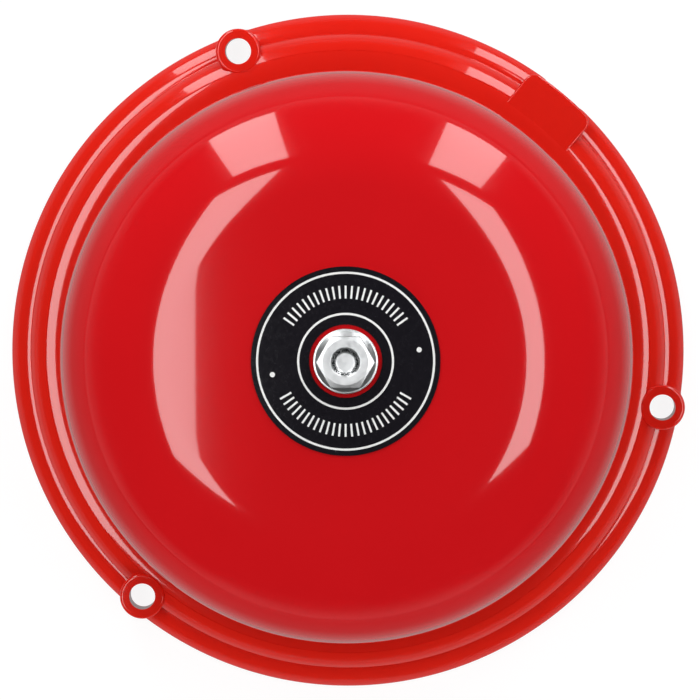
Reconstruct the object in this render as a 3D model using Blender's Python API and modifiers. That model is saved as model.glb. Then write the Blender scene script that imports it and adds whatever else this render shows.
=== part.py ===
"""Motor driven fire alarm bell: a 100 mm pressed gong on a 120 mm moulded base.

The bell lies on its back. The wall plane is z = 0, the gong turns about Z, the cable
hood points along +Y and the origin is the middle of the wall plane. A small motor hangs
under the deck of the base. Its shaft carries two free hammers, which swing out when the
motor turns and strike the inside of the gong.
"""
from math import acos, asin, atan2, ceil, cos, pi, radians, sin, sqrt, tan

import bmesh
import bpy
from mathutils import Matrix, Vector

MM = 0.001

# Clearances
SEAT_GAP = 0.2 * MM
LABEL_GAP = 0.1 * MM
RUNNING_GAP = 0.05 * MM
PIVOT_GAP = 0.2 * MM
STOP_GAP = 0.3 * MM
SWEEP_GAP = 1.2 * MM

# Base moulding
BASE_RADIUS = 60.0 * MM
RIM_HEIGHT = 4.0 * MM
RIM_FACE_WIDTH = 3.5 * MM
RIM_START_SLOPE = radians(4)
RISER_HEIGHT = 4.2 * MM
RISER_RUN = 0.1 * MM
STEP_FACE_WIDTH = 2.9 * MM
STEP_START_SLOPE = radians(16)
FACE_END_SLOPE = radians(63)
FLANGE_WIDTH = 4.9 * MM
FLANGE_SLOPE = radians(8)
DRUM_HEIGHT = 15.4 * MM
DRUM_FOOT_FILLET = 0.8 * MM
DRUM_EDGE_FILLET = 1.2 * MM
DECK_THICKNESS = 2.5 * MM
BASE_WALL = 2.2 * MM
INNER_FILLET = 1.5 * MM

# Fixing lugs
LUG_ANGLES = (radians(30), radians(150), radians(270))
LUG_PITCH_RADIUS = 56.9 * MM
LUG_RADIUS = 4.0 * MM
LUG_HEIGHT = 8.4 * MM
LUG_EDGE_FILLET = 0.5 * MM
LUG_HOLE_RADIUS = 2.3 * MM

# Cable hood
HOOD_WIDTH = 14.0 * MM
HOOD_SETBACK = 0.2 * MM
HOOD_RISE = 0.1 * MM
HOOD_ROOF = 1.9 * MM
HOOD_CORNER = 1.2 * MM
HOOD_EDGE_FILLET = 0.4 * MM
HOOD_LENGTH = 9.0 * MM
CABLE_SLOT_WIDTH = 8.0 * MM
CABLE_SLOT_HEIGHT = 6.2 * MM

# Stiffening under the deck
RIB_ANGLES = tuple(radians(angle) for angle in (0, 50, 130, 180, 210, 330))
RIB_THICKNESS = 1.6 * MM
RIB_DEPTH = 5.0 * MM
BOSS_MARGIN = 1.5 * MM
BOSS_DEPTH = 3.0 * MM
COLLAR_WALL = 1.6 * MM
COLLAR_DEPTH = 4.0 * MM

# Gong
GONG_RADIUS = 50.0 * MM
GONG_WALL = 1.2 * MM
GONG_LIFT = 1.6 * MM
SKIRT_HEIGHT = 10.3 * MM
SHOULDER_RADIUS = 15.5 * MM
SHOULDER_SLOPE = radians(41)
HAUNCH_RADIUS = 26.0 * MM
HAUNCH_SLOPE = radians(5.5)
GONG_SEAT_RADIUS = 6.0 * MM
GONG_HOLE_RADIUS = 3.2 * MM

# Label on the crown
LABEL_INNER_RADIUS = 6.3 * MM
LABEL_OUTER_RADIUS = 16.3 * MM
LABEL_THICKNESS = 0.2 * MM

# Flange bolt, its washer and the post that carries the gong
BOLT_RADIUS = 2.5 * MM
BOLT_LENGTH = 14.0 * MM
BOLT_FLANGE_RADIUS = 5.6 * MM
BOLT_FLANGE_THICKNESS = 1.2 * MM
BOLT_FLANGE_FILLET = 0.4 * MM
BOLT_HEX_ACROSS = 9.2 * MM
BOLT_HEX_HEIGHT = 4.0 * MM
BOLT_HEX_TURN = radians(40)
BOLT_CHAMFER = 0.7 * MM
BOLT_DISH_RADIUS = 2.7 * MM
BOLT_DISH_DEPTH = 0.7 * MM
GONG_WASHER_RADIUS = 5.5 * MM
GONG_WASHER_THICKNESS = 1.0 * MM
POST_RADIUS = 6.0 * MM
POST_CHAMFER = 0.8 * MM
POST_FLANGE_RADIUS = 9.0 * MM
POST_FLANGE_THICKNESS = 2.5 * MM
POST_BORE_SPARE = 2.0 * MM
STUD_RADIUS = 3.0 * MM
STUD_SPARE = 1.2 * MM
POST_WASHER_RADIUS = 7.5 * MM
POST_WASHER_THICKNESS = 1.2 * MM
POST_NUT_ACROSS = 10.0 * MM
POST_NUT_HEIGHT = 5.0 * MM

# Motor
MOTOR_RADIUS = 12.2 * MM
MOTOR_LENGTH = 16.5 * MM
MOTOR_EDGE_FILLET = 0.8 * MM
CAN_WALL = 0.8 * MM
CAN_NOSE_RADIUS = 3.6 * MM
CAN_NOSE_HEIGHT = 1.4 * MM
PAD_WIDTH = 3.0 * MM
PAD_THICKNESS = 0.6 * MM
MAGNET_THICKNESS = 2.2 * MM
MAGNET_OVERHANG = 0.9 * MM
FRONT_BUSH_RADIUS = 2.4 * MM
FRONT_BUSH_LENGTH = 2.6 * MM
REAR_BUSH_RADIUS = 2.2 * MM
CAP_THICKNESS = 1.4 * MM
SHAFT_RADIUS = 1.0 * MM
END_PLAY = 0.6 * MM
MOTOR_SCREW_PITCH = 12.0 * MM
MOTOR_SCREW_RADIUS = 1.0 * MM
SCREW_HEAD_RADIUS = 1.9 * MM
SCREW_HEAD_HEIGHT = 1.2 * MM
SCREW_SLOT_WIDTH = 0.5 * MM
SCREW_SLOT_DEPTH = 0.6 * MM

# Armature, commutator and brushes
AIR_GAP = 0.4 * MM
POLE_COUNT = 3
POLE_HALF_ANGLE = radians(50)
CORE_HUB_RADIUS = 3.0 * MM
CORE_THICKNESS = 7.5 * MM
NECK_WIDTH = 3.0 * MM
SHOE_DEPTH = 2.1 * MM
SHOE_TIP = 0.6 * MM
COIL_BUILD = 0.8 * MM
COMMUTATOR_RADIUS = 2.2 * MM
COMMUTATOR_LENGTH = 2.6 * MM
BRUSH_THICKNESS = 0.4 * MM
BRUSH_WIDTH = 1.8 * MM
TAB_INSET = 4.2 * MM
TAB_LENGTH = 1.7 * MM

# Hammer carrier, pins and hammers
ROTOR_ANGLE = radians(40)
CARRIER_LIFT = 0.7 * MM
CARRIER_THICKNESS = 2.4 * MM
CARRIER_EYE_RADIUS = 3.4 * MM
HUB_RADIUS = 3.2 * MM
HUB_HEIGHT = 4.0 * MM
SHAFT_SPARE = 0.5 * MM
PIVOT_RADIUS = 8.5 * MM
PIN_RADIUS = 1.2 * MM
PIN_HEAD_RADIUS = 2.3 * MM
PIN_HEAD_HEIGHT = 0.9 * MM
PEG_RADIUS = 1.0 * MM
PEG_DISTANCE = 5.0 * MM
PEG_LAND = 0.9 * MM
PEG_LAND_INSET = 0.3 * MM
EYE_BOSS_RADIUS = 2.2 * MM
HAMMER_EYE_RADIUS = 2.6 * MM
HAMMER_NECK_RADIUS = 1.7 * MM
HAMMER_ARM_THICKNESS = 2.6 * MM
HAMMER_HEAD_RADIUS = 3.6 * MM
HAMMER_HEAD_HEIGHT = 5.0 * MM
HAMMER_HEAD_FILLET = 1.0 * MM
HAMMER_OVERSWING = radians(10)
STRIKE_BITE = 0.3 * MM

# Terminal block
TERMINAL_OFFSET = 28.0 * MM
TERMINAL_PAD = 1.2 * MM
TERMINAL_LENGTH = 15.6 * MM
TERMINAL_WIDTH = 12.0 * MM
TERMINAL_HEIGHT = 8.6 * MM
TERMINAL_FILLET = 0.8 * MM
TERMINAL_PITCH = 8.0 * MM
BARREL_RADIUS = 2.1 * MM
BARREL_BORE_RADIUS = 1.2 * MM
BARREL_DEPTH = 3.2 * MM
CLAMP_SPACING = 6.0 * MM
CLAMP_RADIUS = 1.0 * MM
CLAMP_HEAD_RADIUS = 1.5 * MM
CLAMP_HEAD_HEIGHT = 1.4 * MM
CLAMP_BITE = 0.2 * MM
FIXING_RADIUS = 1.0 * MM
FIXING_DEPTH = 2.6 * MM

# Leads and suppressor
LEAD_RADIUS = 0.65 * MM
LEAD_POINT_SPACING = 3.0 * MM
LEAD_TUCK = 3.0 * MM
LEAD_STRAIGHT = 1.5 * MM
LEAD_BENDS = ((7.0 * MM, 14.0 * MM, 14.6 * MM), (11.5 * MM, 5.0 * MM, 12.8 * MM),
              (13.0 * MM, -5.0 * MM, 11.2 * MM), (14.8 * MM, -15.0 * MM, 8.0 * MM))
LEAD_LOOP_OUT = 3.4 * MM
LEAD_LOOP_BACK = 6.0 * MM
LEAD_LOOP_RISE = 1.2 * MM
LEAD_RUN_IN = 1.0 * MM
SUPPRESSOR_RADIUS = 3.0 * MM
SUPPRESSOR_THICKNESS = 1.5 * MM
SUPPRESSOR_LEG_RADIUS = 0.25 * MM

# Fineness of round work
LARGE_STEPS = 48
MEDIUM_STEPS = 20
SMALL_STEPS = 16
FINE_STEPS = 10
FILLET_STEPS = 2
FILLET_FACET = 0.8 * MM
CROWN_STEPS = 2
SHOULDER_STEPS = 4
FACE_STEPS = 3
EYE_STEPS = 8
HOOD_STEPS = 4
SIDE_SHARE = 0.95
HEX_SIDES = 6
CUT_MARGIN = 1.0 * MM

# Levels and radii of the base
STEP_TOP = RIM_HEIGHT + RISER_HEIGHT
DECK_TOP = STEP_TOP + DRUM_HEIGHT
DECK_UNDERSIDE = DECK_TOP - DECK_THICKNESS
RIM_FACE_RADIUS = BASE_RADIUS - RIM_FACE_WIDTH
STEP_EDGE_RADIUS = RIM_FACE_RADIUS - RISER_RUN
STEP_FACE_RADIUS = STEP_EDGE_RADIUS - STEP_FACE_WIDTH
DRUM_RADIUS = STEP_FACE_RADIUS - FLANGE_WIDTH
FLANGE_TOP = STEP_TOP + FLANGE_WIDTH * tan(FLANGE_SLOPE)
FLANGE_UNDERSIDE = STEP_TOP - BASE_WALL
DRUM_INNER_RADIUS = DRUM_RADIUS - BASE_WALL
STUD_HOLE_RADIUS = STUD_RADIUS + SEAT_GAP
BOSS_RADIUS = POST_WASHER_RADIUS + BOSS_MARGIN
BOSS_UNDERSIDE = DECK_UNDERSIDE - BOSS_DEPTH
HOOD_RADIUS = BASE_RADIUS - HOOD_SETBACK
HOOD_TOP = STEP_TOP + HOOD_RISE

# Levels of the gong and of what it is bolted to
GONG_RIM = DECK_TOP + GONG_LIFT
SHOULDER_LEVEL = GONG_RIM + SKIRT_HEIGHT
SHOULDER_CENTRE_RADIUS = GONG_RADIUS - SHOULDER_RADIUS
HAUNCH_EXCESS = HAUNCH_RADIUS - SHOULDER_RADIUS
HAUNCH_CENTRE_RADIUS = SHOULDER_CENTRE_RADIUS - HAUNCH_EXCESS * sin(SHOULDER_SLOPE)
HAUNCH_LEVEL = SHOULDER_LEVEL - HAUNCH_EXCESS * cos(SHOULDER_SLOPE)
CROWN_RADIUS = HAUNCH_RADIUS + HAUNCH_CENTRE_RADIUS / sin(HAUNCH_SLOPE)
CROWN_LEVEL = HAUNCH_LEVEL - (CROWN_RADIUS - HAUNCH_RADIUS) * cos(HAUNCH_SLOPE)
GONG_SEAT = CROWN_LEVEL + sqrt(CROWN_RADIUS ** 2 - GONG_SEAT_RADIUS ** 2)
BOLT_SEAT = GONG_SEAT + SEAT_GAP
GONG_WASHER_TOP = GONG_SEAT - GONG_WALL - SEAT_GAP
POST_TOP = GONG_WASHER_TOP - GONG_WASHER_THICKNESS - SEAT_GAP
POST_FOOT = DECK_TOP + SEAT_GAP
POST_BORE_BOTTOM = BOLT_SEAT - BOLT_LENGTH - POST_BORE_SPARE
POST_WASHER_TOP = BOSS_UNDERSIDE - SEAT_GAP
POST_NUT_TOP = POST_WASHER_TOP - POST_WASHER_THICKNESS - SEAT_GAP
STUD_END = POST_NUT_TOP - POST_NUT_HEIGHT - STUD_SPARE

# Levels of the motor, from the deck down to its tabs
PAD_TOP = DECK_UNDERSIDE - SEAT_GAP
MOTOR_FACE = PAD_TOP - PAD_THICKNESS - SEAT_GAP
MOTOR_BACK = MOTOR_FACE - MOTOR_LENGTH
CAN_INSIDE = MOTOR_FACE - CAN_WALL
COIL_TOP = CAN_INSIDE - END_PLAY
CORE_TOP = COIL_TOP - COIL_BUILD - SEAT_GAP
CORE_BOTTOM = CORE_TOP - CORE_THICKNESS
COMMUTATOR_TOP = CORE_BOTTOM - COIL_BUILD - 2 * SEAT_GAP
COMMUTATOR_BOTTOM = COMMUTATOR_TOP - COMMUTATOR_LENGTH
CAP_TOP = MOTOR_BACK + CAP_THICKNESS
TAB_END = MOTOR_BACK - TAB_LENGTH
TAB_RADIUS = MOTOR_RADIUS - TAB_INSET
MAGNET_OUTER_RADIUS = MOTOR_RADIUS - CAN_WALL - SEAT_GAP
MAGNET_INNER_RADIUS = MAGNET_OUTER_RADIUS - MAGNET_THICKNESS
CORE_RADIUS = MAGNET_INNER_RADIUS - AIR_GAP
SHOE_INNER = CORE_RADIUS - SHOE_DEPTH

# Levels of the hammer work, from the deck up
SCREW_SEAT = DECK_TOP + SEAT_GAP
CARRIER_BOTTOM = SCREW_SEAT + SCREW_HEAD_HEIGHT + CARRIER_LIFT
CARRIER_TOP = CARRIER_BOTTOM + CARRIER_THICKNESS
HAMMER_BOTTOM = CARRIER_TOP + SEAT_GAP
HAMMER_ARM_BOTTOM = HAMMER_BOTTOM + (HAMMER_HEAD_HEIGHT - HAMMER_ARM_THICKNESS) / 2
HAMMER_ARM_TOP = HAMMER_ARM_BOTTOM + HAMMER_ARM_THICKNESS
EYE_BOSS_TOP = HAMMER_ARM_BOTTOM - SEAT_GAP
HUB_TOP = CARRIER_TOP + HUB_HEIGHT
SHAFT_TOP = HUB_TOP + SHAFT_SPARE
STRIKE_LEVEL = HAMMER_BOTTOM + HAMMER_HEAD_HEIGHT / 2


def gong_inner_radius(level):
    """Radius of the inner wall of the gong at a level of its skirt or shoulder."""
    rise = max(0.0, level - SHOULDER_LEVEL)
    return SHOULDER_CENTRE_RADIUS + sqrt((SHOULDER_RADIUS - GONG_WALL) ** 2 - rise ** 2)


# The rotor turns midway between post and gong, and its hammers just reach the gong
STRIKE_RADIUS = gong_inner_radius(STRIKE_LEVEL)
MOTOR_OFFSET = (STRIKE_RADIUS + POST_RADIUS + SWEEP_GAP) / 2
HAMMER_REACH = STRIKE_RADIUS - MOTOR_OFFSET + STRIKE_BITE
HAMMER_LENGTH = HAMMER_REACH - PIVOT_RADIUS - HAMMER_HEAD_RADIUS
FOLDED_DISTANCE = HUB_RADIUS + HAMMER_HEAD_RADIUS + STOP_GAP
HAMMER_FOLD = acos((FOLDED_DISTANCE ** 2 - PIVOT_RADIUS ** 2 - HAMMER_LENGTH ** 2)
                   / (2 * PIVOT_RADIUS * HAMMER_LENGTH))
HAMMER_TAPER = asin((HAMMER_EYE_RADIUS - HAMMER_NECK_RADIUS) / HAMMER_LENGTH)
PEG_OFFSET = asin((HAMMER_EYE_RADIUS + PEG_RADIUS + STOP_GAP) / PEG_DISTANCE) - HAMMER_TAPER
PEG_ANGLE = -HAMMER_OVERSWING - PEG_OFFSET
HAMMER_ANGLES = (ROTOR_ANGLE, ROTOR_ANGLE + pi)

# Levels of the terminal block, which hangs under the deck
TERMINAL_TOP = DECK_UNDERSIDE - TERMINAL_PAD - SEAT_GAP
TERMINAL_BOTTOM = TERMINAL_TOP - TERMINAL_HEIGHT
BARREL_LEVEL = TERMINAL_TOP - BARREL_DEPTH
CLAMP_TIP = BARREL_LEVEL - BARREL_BORE_RADIUS + CLAMP_BITE
CLAMP_SEAT = BARREL_LEVEL - BARREL_RADIUS - SEAT_GAP
TERMINAL_SIDES = (-TERMINAL_PITCH / 2, TERMINAL_PITCH / 2)
CLAMP_ROWS = (-CLAMP_SPACING / 2, CLAMP_SPACING / 2)


def clear_scene():
    for obj in list(bpy.data.objects):
        bpy.data.objects.remove(obj, do_unlink=True)


def new_collection(name):
    collection = bpy.data.collections.new(name)
    bpy.context.scene.collection.children.link(collection)
    return collection


def finish(name, colour, roughness, metallic=0.0):
    """A Principled material from an sRGB colour given as three values from 0 to 1."""
    material = bpy.data.materials.new(name)
    material.use_nodes = True
    shader = material.node_tree.nodes["Principled BSDF"]
    linear = [((value + 0.055) / 1.055) ** 2.4 if value > 0.04 else value / 12.92 for value in colour]
    shader.inputs["Base Color"].default_value = (*linear, 1.0)
    shader.inputs["Roughness"].default_value = roughness
    shader.inputs["Metallic"].default_value = metallic
    material.diffuse_color = (*linear, 1.0)
    return material


def add_object(name, mesh, material):
    """Puts a mesh in the scene, as a part where it has a material and as a tool where it has none."""
    obj = bpy.data.objects.new(name, mesh)
    if material:
        PARTS.objects.link(obj)
        mesh.materials.append(material)
    else:
        TOOLS.objects.link(obj)
        obj.hide_render = True
        obj.display_type = "WIRE"
    return obj


def add_empty(name, location, angle=0.0, parent=None):
    empty = bpy.data.objects.new(name, None)
    PARTS.objects.link(empty)
    return place(empty, location, angle, parent)


def place(obj, location=(0, 0, 0), angle=0.0, parent=None):
    """Sets an object's place and its turn about Z, in its parent's frame."""
    obj.location = location
    obj.rotation_euler = (0, 0, angle)
    obj.parent = parent
    return obj


def boolean(obj, tool, operation):
    """Adds a Boolean of a tool to an object."""
    modifier = obj.modifiers.new(f"{operation.lower()}_{tool.name}", "BOOLEAN")
    modifier.operation = operation
    modifier.solver = "EXACT"
    modifier.object = tool


def join(obj, *tools):
    for tool in tools:
        boolean(obj, tool, "UNION")


def cut(obj, *tools):
    for tool in tools:
        boolean(obj, tool, "DIFFERENCE")


def arc(centre, radius, start, end, steps):
    """Points of an arc, with angles from the first axis towards the second."""
    sweep = [start + (end - start) * step / steps for step in range(steps + 1)]
    return [(centre[0] + radius * cos(angle), centre[1] + radius * sin(angle)) for angle in sweep]


def circle(radius, centre=(0, 0), steps=SMALL_STEPS):
    return arc(centre, radius, 0, 2 * pi, steps)[:-1]


def hex_corner(across):
    """Distance from the middle of a hexagon to its corners."""
    return across / (2 * cos(pi / HEX_SIDES))


def hexagon(across, turn=0.0):
    return arc((0, 0), hex_corner(across), turn, turn + 2 * pi, HEX_SIDES)[:-1]


def filleted(corners):
    """Outline whose corners, given as (x, y, fillet), are rounded by arcs that share the sides."""
    points = [Vector(corner[:2]) for corner in corners]
    halves = []
    setbacks = []
    for index, point in enumerate(points):
        after = points[(index + 1) % len(points)]
        half = (points[index - 1] - point).angle(after - point) / 2
        halves.append(half)
        setbacks.append(corners[index][2] / tan(half))

    def room(first, second):
        """Share of the wanted setbacks that the side between two corners has room for."""
        wanted = setbacks[first] + setbacks[second]
        return min(1, SIDE_SHARE * (points[first] - points[second]).length / wanted) if wanted > 0 else 1
    outline = []
    for index, point in enumerate(points):
        after = (index + 1) % len(points)
        setback = setbacks[index] * min(room(index - 1, index), room(index, after))
        if setback <= 0:
            outline.append(tuple(point))
            continue
        back = (points[index - 1] - point).normalized()
        ahead = (points[after] - point).normalized()
        radius = setback * tan(halves[index])
        centre = point + (back + ahead).normalized() * radius / sin(halves[index])
        first = point + back * setback - centre
        last = point + ahead * setback - centre
        start = atan2(first.y, first.x)
        sweep = (atan2(last.y, last.x) - start + pi) % (2 * pi) - pi
        steps = max(FILLET_STEPS, ceil(radius / FILLET_FACET))
        outline += arc(centre, radius, start, start + sweep, steps)
    return outline


def turned(name, profile, material=None, closed=True, steps=SMALL_STEPS):
    """A profile of (radius, height) points turned about Z, outer side from top to bottom."""
    mesh = bpy.data.meshes.new(name)
    shape = bmesh.new()
    points = [shape.verts.new((radius, 0, height)) for radius, height in profile]
    for start, end in zip(points, points[1:]):
        shape.edges.new((start, end))
    if closed:
        shape.edges.new((points[-1], points[0]))
    shape.to_mesh(mesh)
    shape.free()
    obj = add_object(name, mesh, material)
    screw = obj.modifiers.new("turn", "SCREW")
    screw.axis = "Z"
    screw.steps = steps
    screw.render_steps = steps
    screw.use_merge_vertices = True
    screw.merge_threshold = 0.001 * MM
    return obj


def tube(name, outer, inner, bottom, top, material=None, steps=SMALL_STEPS):
    """A plain turned ring."""
    return turned(name, [(inner, top), (outer, top), (outer, bottom), (inner, bottom)], material, steps=steps)


def curve_mesh(name, curve):
    """The welded mesh of a curve, which is removed."""
    guide = bpy.data.objects.new(name, curve)
    TOOLS.objects.link(guide)
    evaluated = guide.evaluated_get(bpy.context.evaluated_depsgraph_get())
    mesh = bpy.data.meshes.new_from_object(evaluated)
    mesh.name = name
    shape = bmesh.new()
    shape.from_mesh(mesh)
    bmesh.ops.remove_doubles(shape, verts=shape.verts, dist=0.001 * MM)
    bmesh.ops.recalc_face_normals(shape, faces=shape.faces)
    shape.to_mesh(mesh)
    shape.free()
    bpy.data.objects.remove(guide)
    bpy.data.curves.remove(curve)
    return mesh


def plate_mesh(name, outlines, bottom, top):
    """Flat outlines, the first with the others as holes, given a thickness."""
    curve = bpy.data.curves.new(name, "CURVE")
    curve.dimensions = "2D"
    curve.fill_mode = "BOTH"
    curve.extrude = (top - bottom) / 2
    for outline in outlines:
        spline = curve.splines.new("POLY")
        spline.points.add(len(outline) - 1)
        spline.use_cyclic_u = True
        for point, (x, y) in zip(spline.points, outline):
            point.co = (x, y, 0, 1)
    mesh = curve_mesh(name, curve)
    mesh.transform(Matrix.Translation((0, 0, (top + bottom) / 2)))
    return mesh


def plate(name, outlines, bottom, top, material=None):
    return add_object(name, plate_mesh(name, outlines, bottom, top), material)


def upright_plate(name, outlines, depth, material=None):
    """A plate whose outlines are drawn in X and Z, with its thickness centred on Y = 0."""
    mesh = plate_mesh(name, outlines, -depth / 2, depth / 2)
    mesh.transform(Matrix.Rotation(pi / 2, 4, "X"))
    return add_object(name, mesh, material)


def boxes(name, matrices, material=None):
    """One mesh of unit cubes, each sized and placed by its own matrix."""
    mesh = bpy.data.meshes.new(name)
    shape = bmesh.new()
    for matrix in matrices:
        bmesh.ops.create_cube(shape, size=1.0, matrix=matrix)
    shape.to_mesh(mesh)
    shape.free()
    return add_object(name, mesh, material)


def box_matrix(size, centre, angle=0.0):
    turn = Matrix.Rotation(angle, 4, "Z")
    return turn @ Matrix.Translation(centre) @ Matrix.Diagonal((*size, 1.0))


def cylinders(name, rows, material=None, steps=SMALL_STEPS):
    """One mesh of upright cylinders, each given as (x, y, radius, bottom, top)."""
    mesh = bpy.data.meshes.new(name)
    shape = bmesh.new()
    half_facet = Matrix.Rotation(pi / steps, 4, "Z")
    for x, y, radius, bottom, top in rows:
        centre = Matrix.Translation((x, y, (top + bottom) / 2))
        bmesh.ops.create_cone(shape, cap_ends=True, segments=steps, radius1=radius, radius2=radius,
                              depth=top - bottom, matrix=centre @ half_facet)
    shape.to_mesh(mesh)
    shape.free()
    return add_object(name, mesh, material)


def lying_cylinder(name, radius, length, centre, axis, material=None, steps=SMALL_STEPS):
    """A cylinder along X or Y."""
    mesh = bpy.data.meshes.new(name)
    shape = bmesh.new()
    turn = Matrix.Rotation(pi / 2, 4, "Y" if axis == "X" else "X")
    bmesh.ops.create_cone(shape, cap_ends=True, segments=steps, radius1=radius, radius2=radius,
                          depth=length, matrix=Matrix.Translation(centre) @ turn)
    shape.to_mesh(mesh)
    shape.free()
    return add_object(name, mesh, material)


def polar(radius, angle):
    return radius * cos(angle), radius * sin(angle)


def hood_outline(outer_radius, inner_radius, inset, corner):
    """Plan of the cable hood: two straight sides moved in by an inset, and a round outer end."""
    side = HOOD_WIDTH / 2 - inset
    outer_y = sqrt(outer_radius ** 2 - side ** 2)
    end = atan2(outer_y, side)
    crest = arc((0, 0), outer_radius, end, pi - end, HOOD_STEPS)[1:-1]
    corners = [(side, inner_radius, 0), (side, outer_y, corner)]
    corners += [(x, y, 0) for x, y in crest]
    corners += [(-side, outer_y, corner), (-side, inner_radius, 0)]
    return filleted(corners)


def round_top(mesh, level, radius):
    """Rounds the edges of a plate that lie at a level."""
    shape = bmesh.new()
    shape.from_mesh(mesh)
    edges = [edge for edge in shape.edges
             if all(abs(vert.co.z - level) < 0.01 * MM for vert in edge.verts)
             and edge.calc_face_angle(0) > radians(45)]
    bmesh.ops.bevel(shape, geom=edges, offset=radius, segments=2, profile=0.5, affect="EDGES")
    shape.to_mesh(mesh)
    shape.free()


def step_face(start, end, level, start_slope):
    """Rounded face of a step, which falls away from a radius and a level to its outer edge."""
    radius = (end - start) / (sin(FACE_END_SLOPE) - sin(start_slope))
    centre = (start - radius * sin(start_slope), level - radius * cos(start_slope))
    face = arc(centre, radius, pi / 2 - start_slope, pi / 2 - FACE_END_SLOPE, FACE_STEPS)
    return [(x, z, 0) for x, z in face]


def base_shell():
    """The drum with its flange of two rounded steps, turned in one piece."""
    profile = filleted([
        (STUD_HOLE_RADIUS, DECK_TOP, 0),
        (DRUM_RADIUS, DECK_TOP, DRUM_EDGE_FILLET),
        (DRUM_RADIUS, FLANGE_TOP, DRUM_FOOT_FILLET),
        *step_face(STEP_FACE_RADIUS, STEP_EDGE_RADIUS, STEP_TOP, STEP_START_SLOPE),
        *step_face(RIM_FACE_RADIUS, BASE_RADIUS, RIM_HEIGHT, RIM_START_SLOPE),
        (BASE_RADIUS, -CUT_MARGIN, 0),
        (STEP_EDGE_RADIUS - BASE_WALL, -CUT_MARGIN, 0),
        (STEP_EDGE_RADIUS - BASE_WALL, FLANGE_UNDERSIDE, 0),
        (DRUM_INNER_RADIUS, FLANGE_UNDERSIDE, 0),
        (DRUM_INNER_RADIUS, DECK_UNDERSIDE, INNER_FILLET),
        (STUD_HOLE_RADIUS, DECK_UNDERSIDE, 0),
    ])
    return turned("base", profile, RED_PLASTIC, steps=LARGE_STEPS)


def base_lugs():
    """Three round fixing lugs that stand out of the lower step."""
    profile = filleted([(0, LUG_HEIGHT, 0), (LUG_RADIUS, LUG_HEIGHT, LUG_EDGE_FILLET),
                        (LUG_RADIUS, -2 * CUT_MARGIN, 0), (0, -2 * CUT_MARGIN, 0)])
    for number, angle in enumerate(LUG_ANGLES, 1):
        lug = turned(f"lug_{number}", profile, closed=False)
        yield place(lug, (*polar(LUG_PITCH_RADIUS, angle), 0), angle)


def base_hood():
    """The cable hood across the steps, level with the flange and almost out to the rim."""
    inner_radius = BASE_RADIUS - HOOD_LENGTH
    outline = hood_outline(HOOD_RADIUS, inner_radius, 0, HOOD_CORNER)
    mesh = plate_mesh("hood", [outline], -3 * CUT_MARGIN, HOOD_TOP)
    round_top(mesh, HOOD_TOP, HOOD_EDGE_FILLET)
    return add_object("hood", mesh, None)


def base_hood_hollow():
    """The space for the cable inside the hood, open to the wall and to the drum."""
    inner_radius = DRUM_INNER_RADIUS - BASE_WALL
    outline = hood_outline(HOOD_RADIUS - BASE_WALL, inner_radius, BASE_WALL, 0)
    return plate("hood_hollow", [outline], -4 * CUT_MARGIN, HOOD_TOP - HOOD_ROOF)


def base_cable_slot():
    """The round topped slot where the supply cable comes in."""
    half = CABLE_SLOT_WIDTH / 2
    foot = -4 * CUT_MARGIN
    outline = [(-half, foot), (half, foot)] + arc((0, CABLE_SLOT_HEIGHT - half), half, 0, pi, EYE_STEPS)
    slot = upright_plate("cable_slot", [outline], 4 * BASE_WALL)
    return place(slot, (0, HOOD_RADIUS, 0))


def base_ribs():
    """Radial ribs under the deck, from the centre boss to the wall."""
    start = BOSS_RADIUS - BOSS_MARGIN / 2
    end = DRUM_RADIUS - BASE_WALL / 2
    depth = RIB_DEPTH + DECK_THICKNESS / 2
    centre = ((start + end) / 2, 0, DECK_UNDERSIDE - RIB_DEPTH + depth / 2)
    size = (end - start, RIB_THICKNESS, depth)
    return boxes("ribs", [box_matrix(size, centre, angle) for angle in RIB_ANGLES])


def base_bosses():
    """Thicker places under the deck: round the stud, round the motor and above the terminal block."""
    sunk = DECK_UNDERSIDE + DECK_THICKNESS / 2
    boss = cylinders("centre_boss", [(0, 0, BOSS_RADIUS, BOSS_UNDERSIDE, sunk)], steps=MEDIUM_STEPS)
    inner = MOTOR_RADIUS + SEAT_GAP
    collar = tube("motor_collar", inner + COLLAR_WALL, inner, DECK_UNDERSIDE - COLLAR_DEPTH, sunk,
                  steps=MEDIUM_STEPS)
    place(collar, (0, -MOTOR_OFFSET, 0))
    height = TERMINAL_PAD + DECK_THICKNESS / 2
    pad = boxes("terminal_pad", [box_matrix((TERMINAL_LENGTH, TERMINAL_WIDTH, height),
                                            (0, TERMINAL_OFFSET, sunk - height / 2))])
    return boss, collar, pad


def base_holes():
    """Every upright hole in the base."""
    top = DECK_TOP + CUT_MARGIN
    low = BOSS_UNDERSIDE - CUT_MARGIN
    screw = MOTOR_SCREW_RADIUS + SEAT_GAP
    half = MOTOR_SCREW_PITCH / 2
    rows = [(0, 0, STUD_HOLE_RADIUS, low, top),
            (0, -MOTOR_OFFSET, CAN_NOSE_RADIUS + SEAT_GAP, low, top),
            (-half, -MOTOR_OFFSET, screw, low, top),
            (half, -MOTOR_OFFSET, screw, low, top),
            (0, TERMINAL_OFFSET, FIXING_RADIUS + SEAT_GAP, low,
             TERMINAL_TOP + FIXING_DEPTH + 2 * SEAT_GAP)]
    rows += [(*polar(LUG_PITCH_RADIUS, angle), LUG_HOLE_RADIUS, -5 * CUT_MARGIN, top) for angle in LUG_ANGLES]
    return cylinders("base_holes", rows)


def base_wall_side():
    """What lies behind the wall plane, which trims the back of the base flat."""
    width = 3 * BASE_RADIUS
    return boxes("wall_side", [box_matrix((width, width, 6 * CUT_MARGIN), (0, 0, -3 * CUT_MARGIN))])


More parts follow.
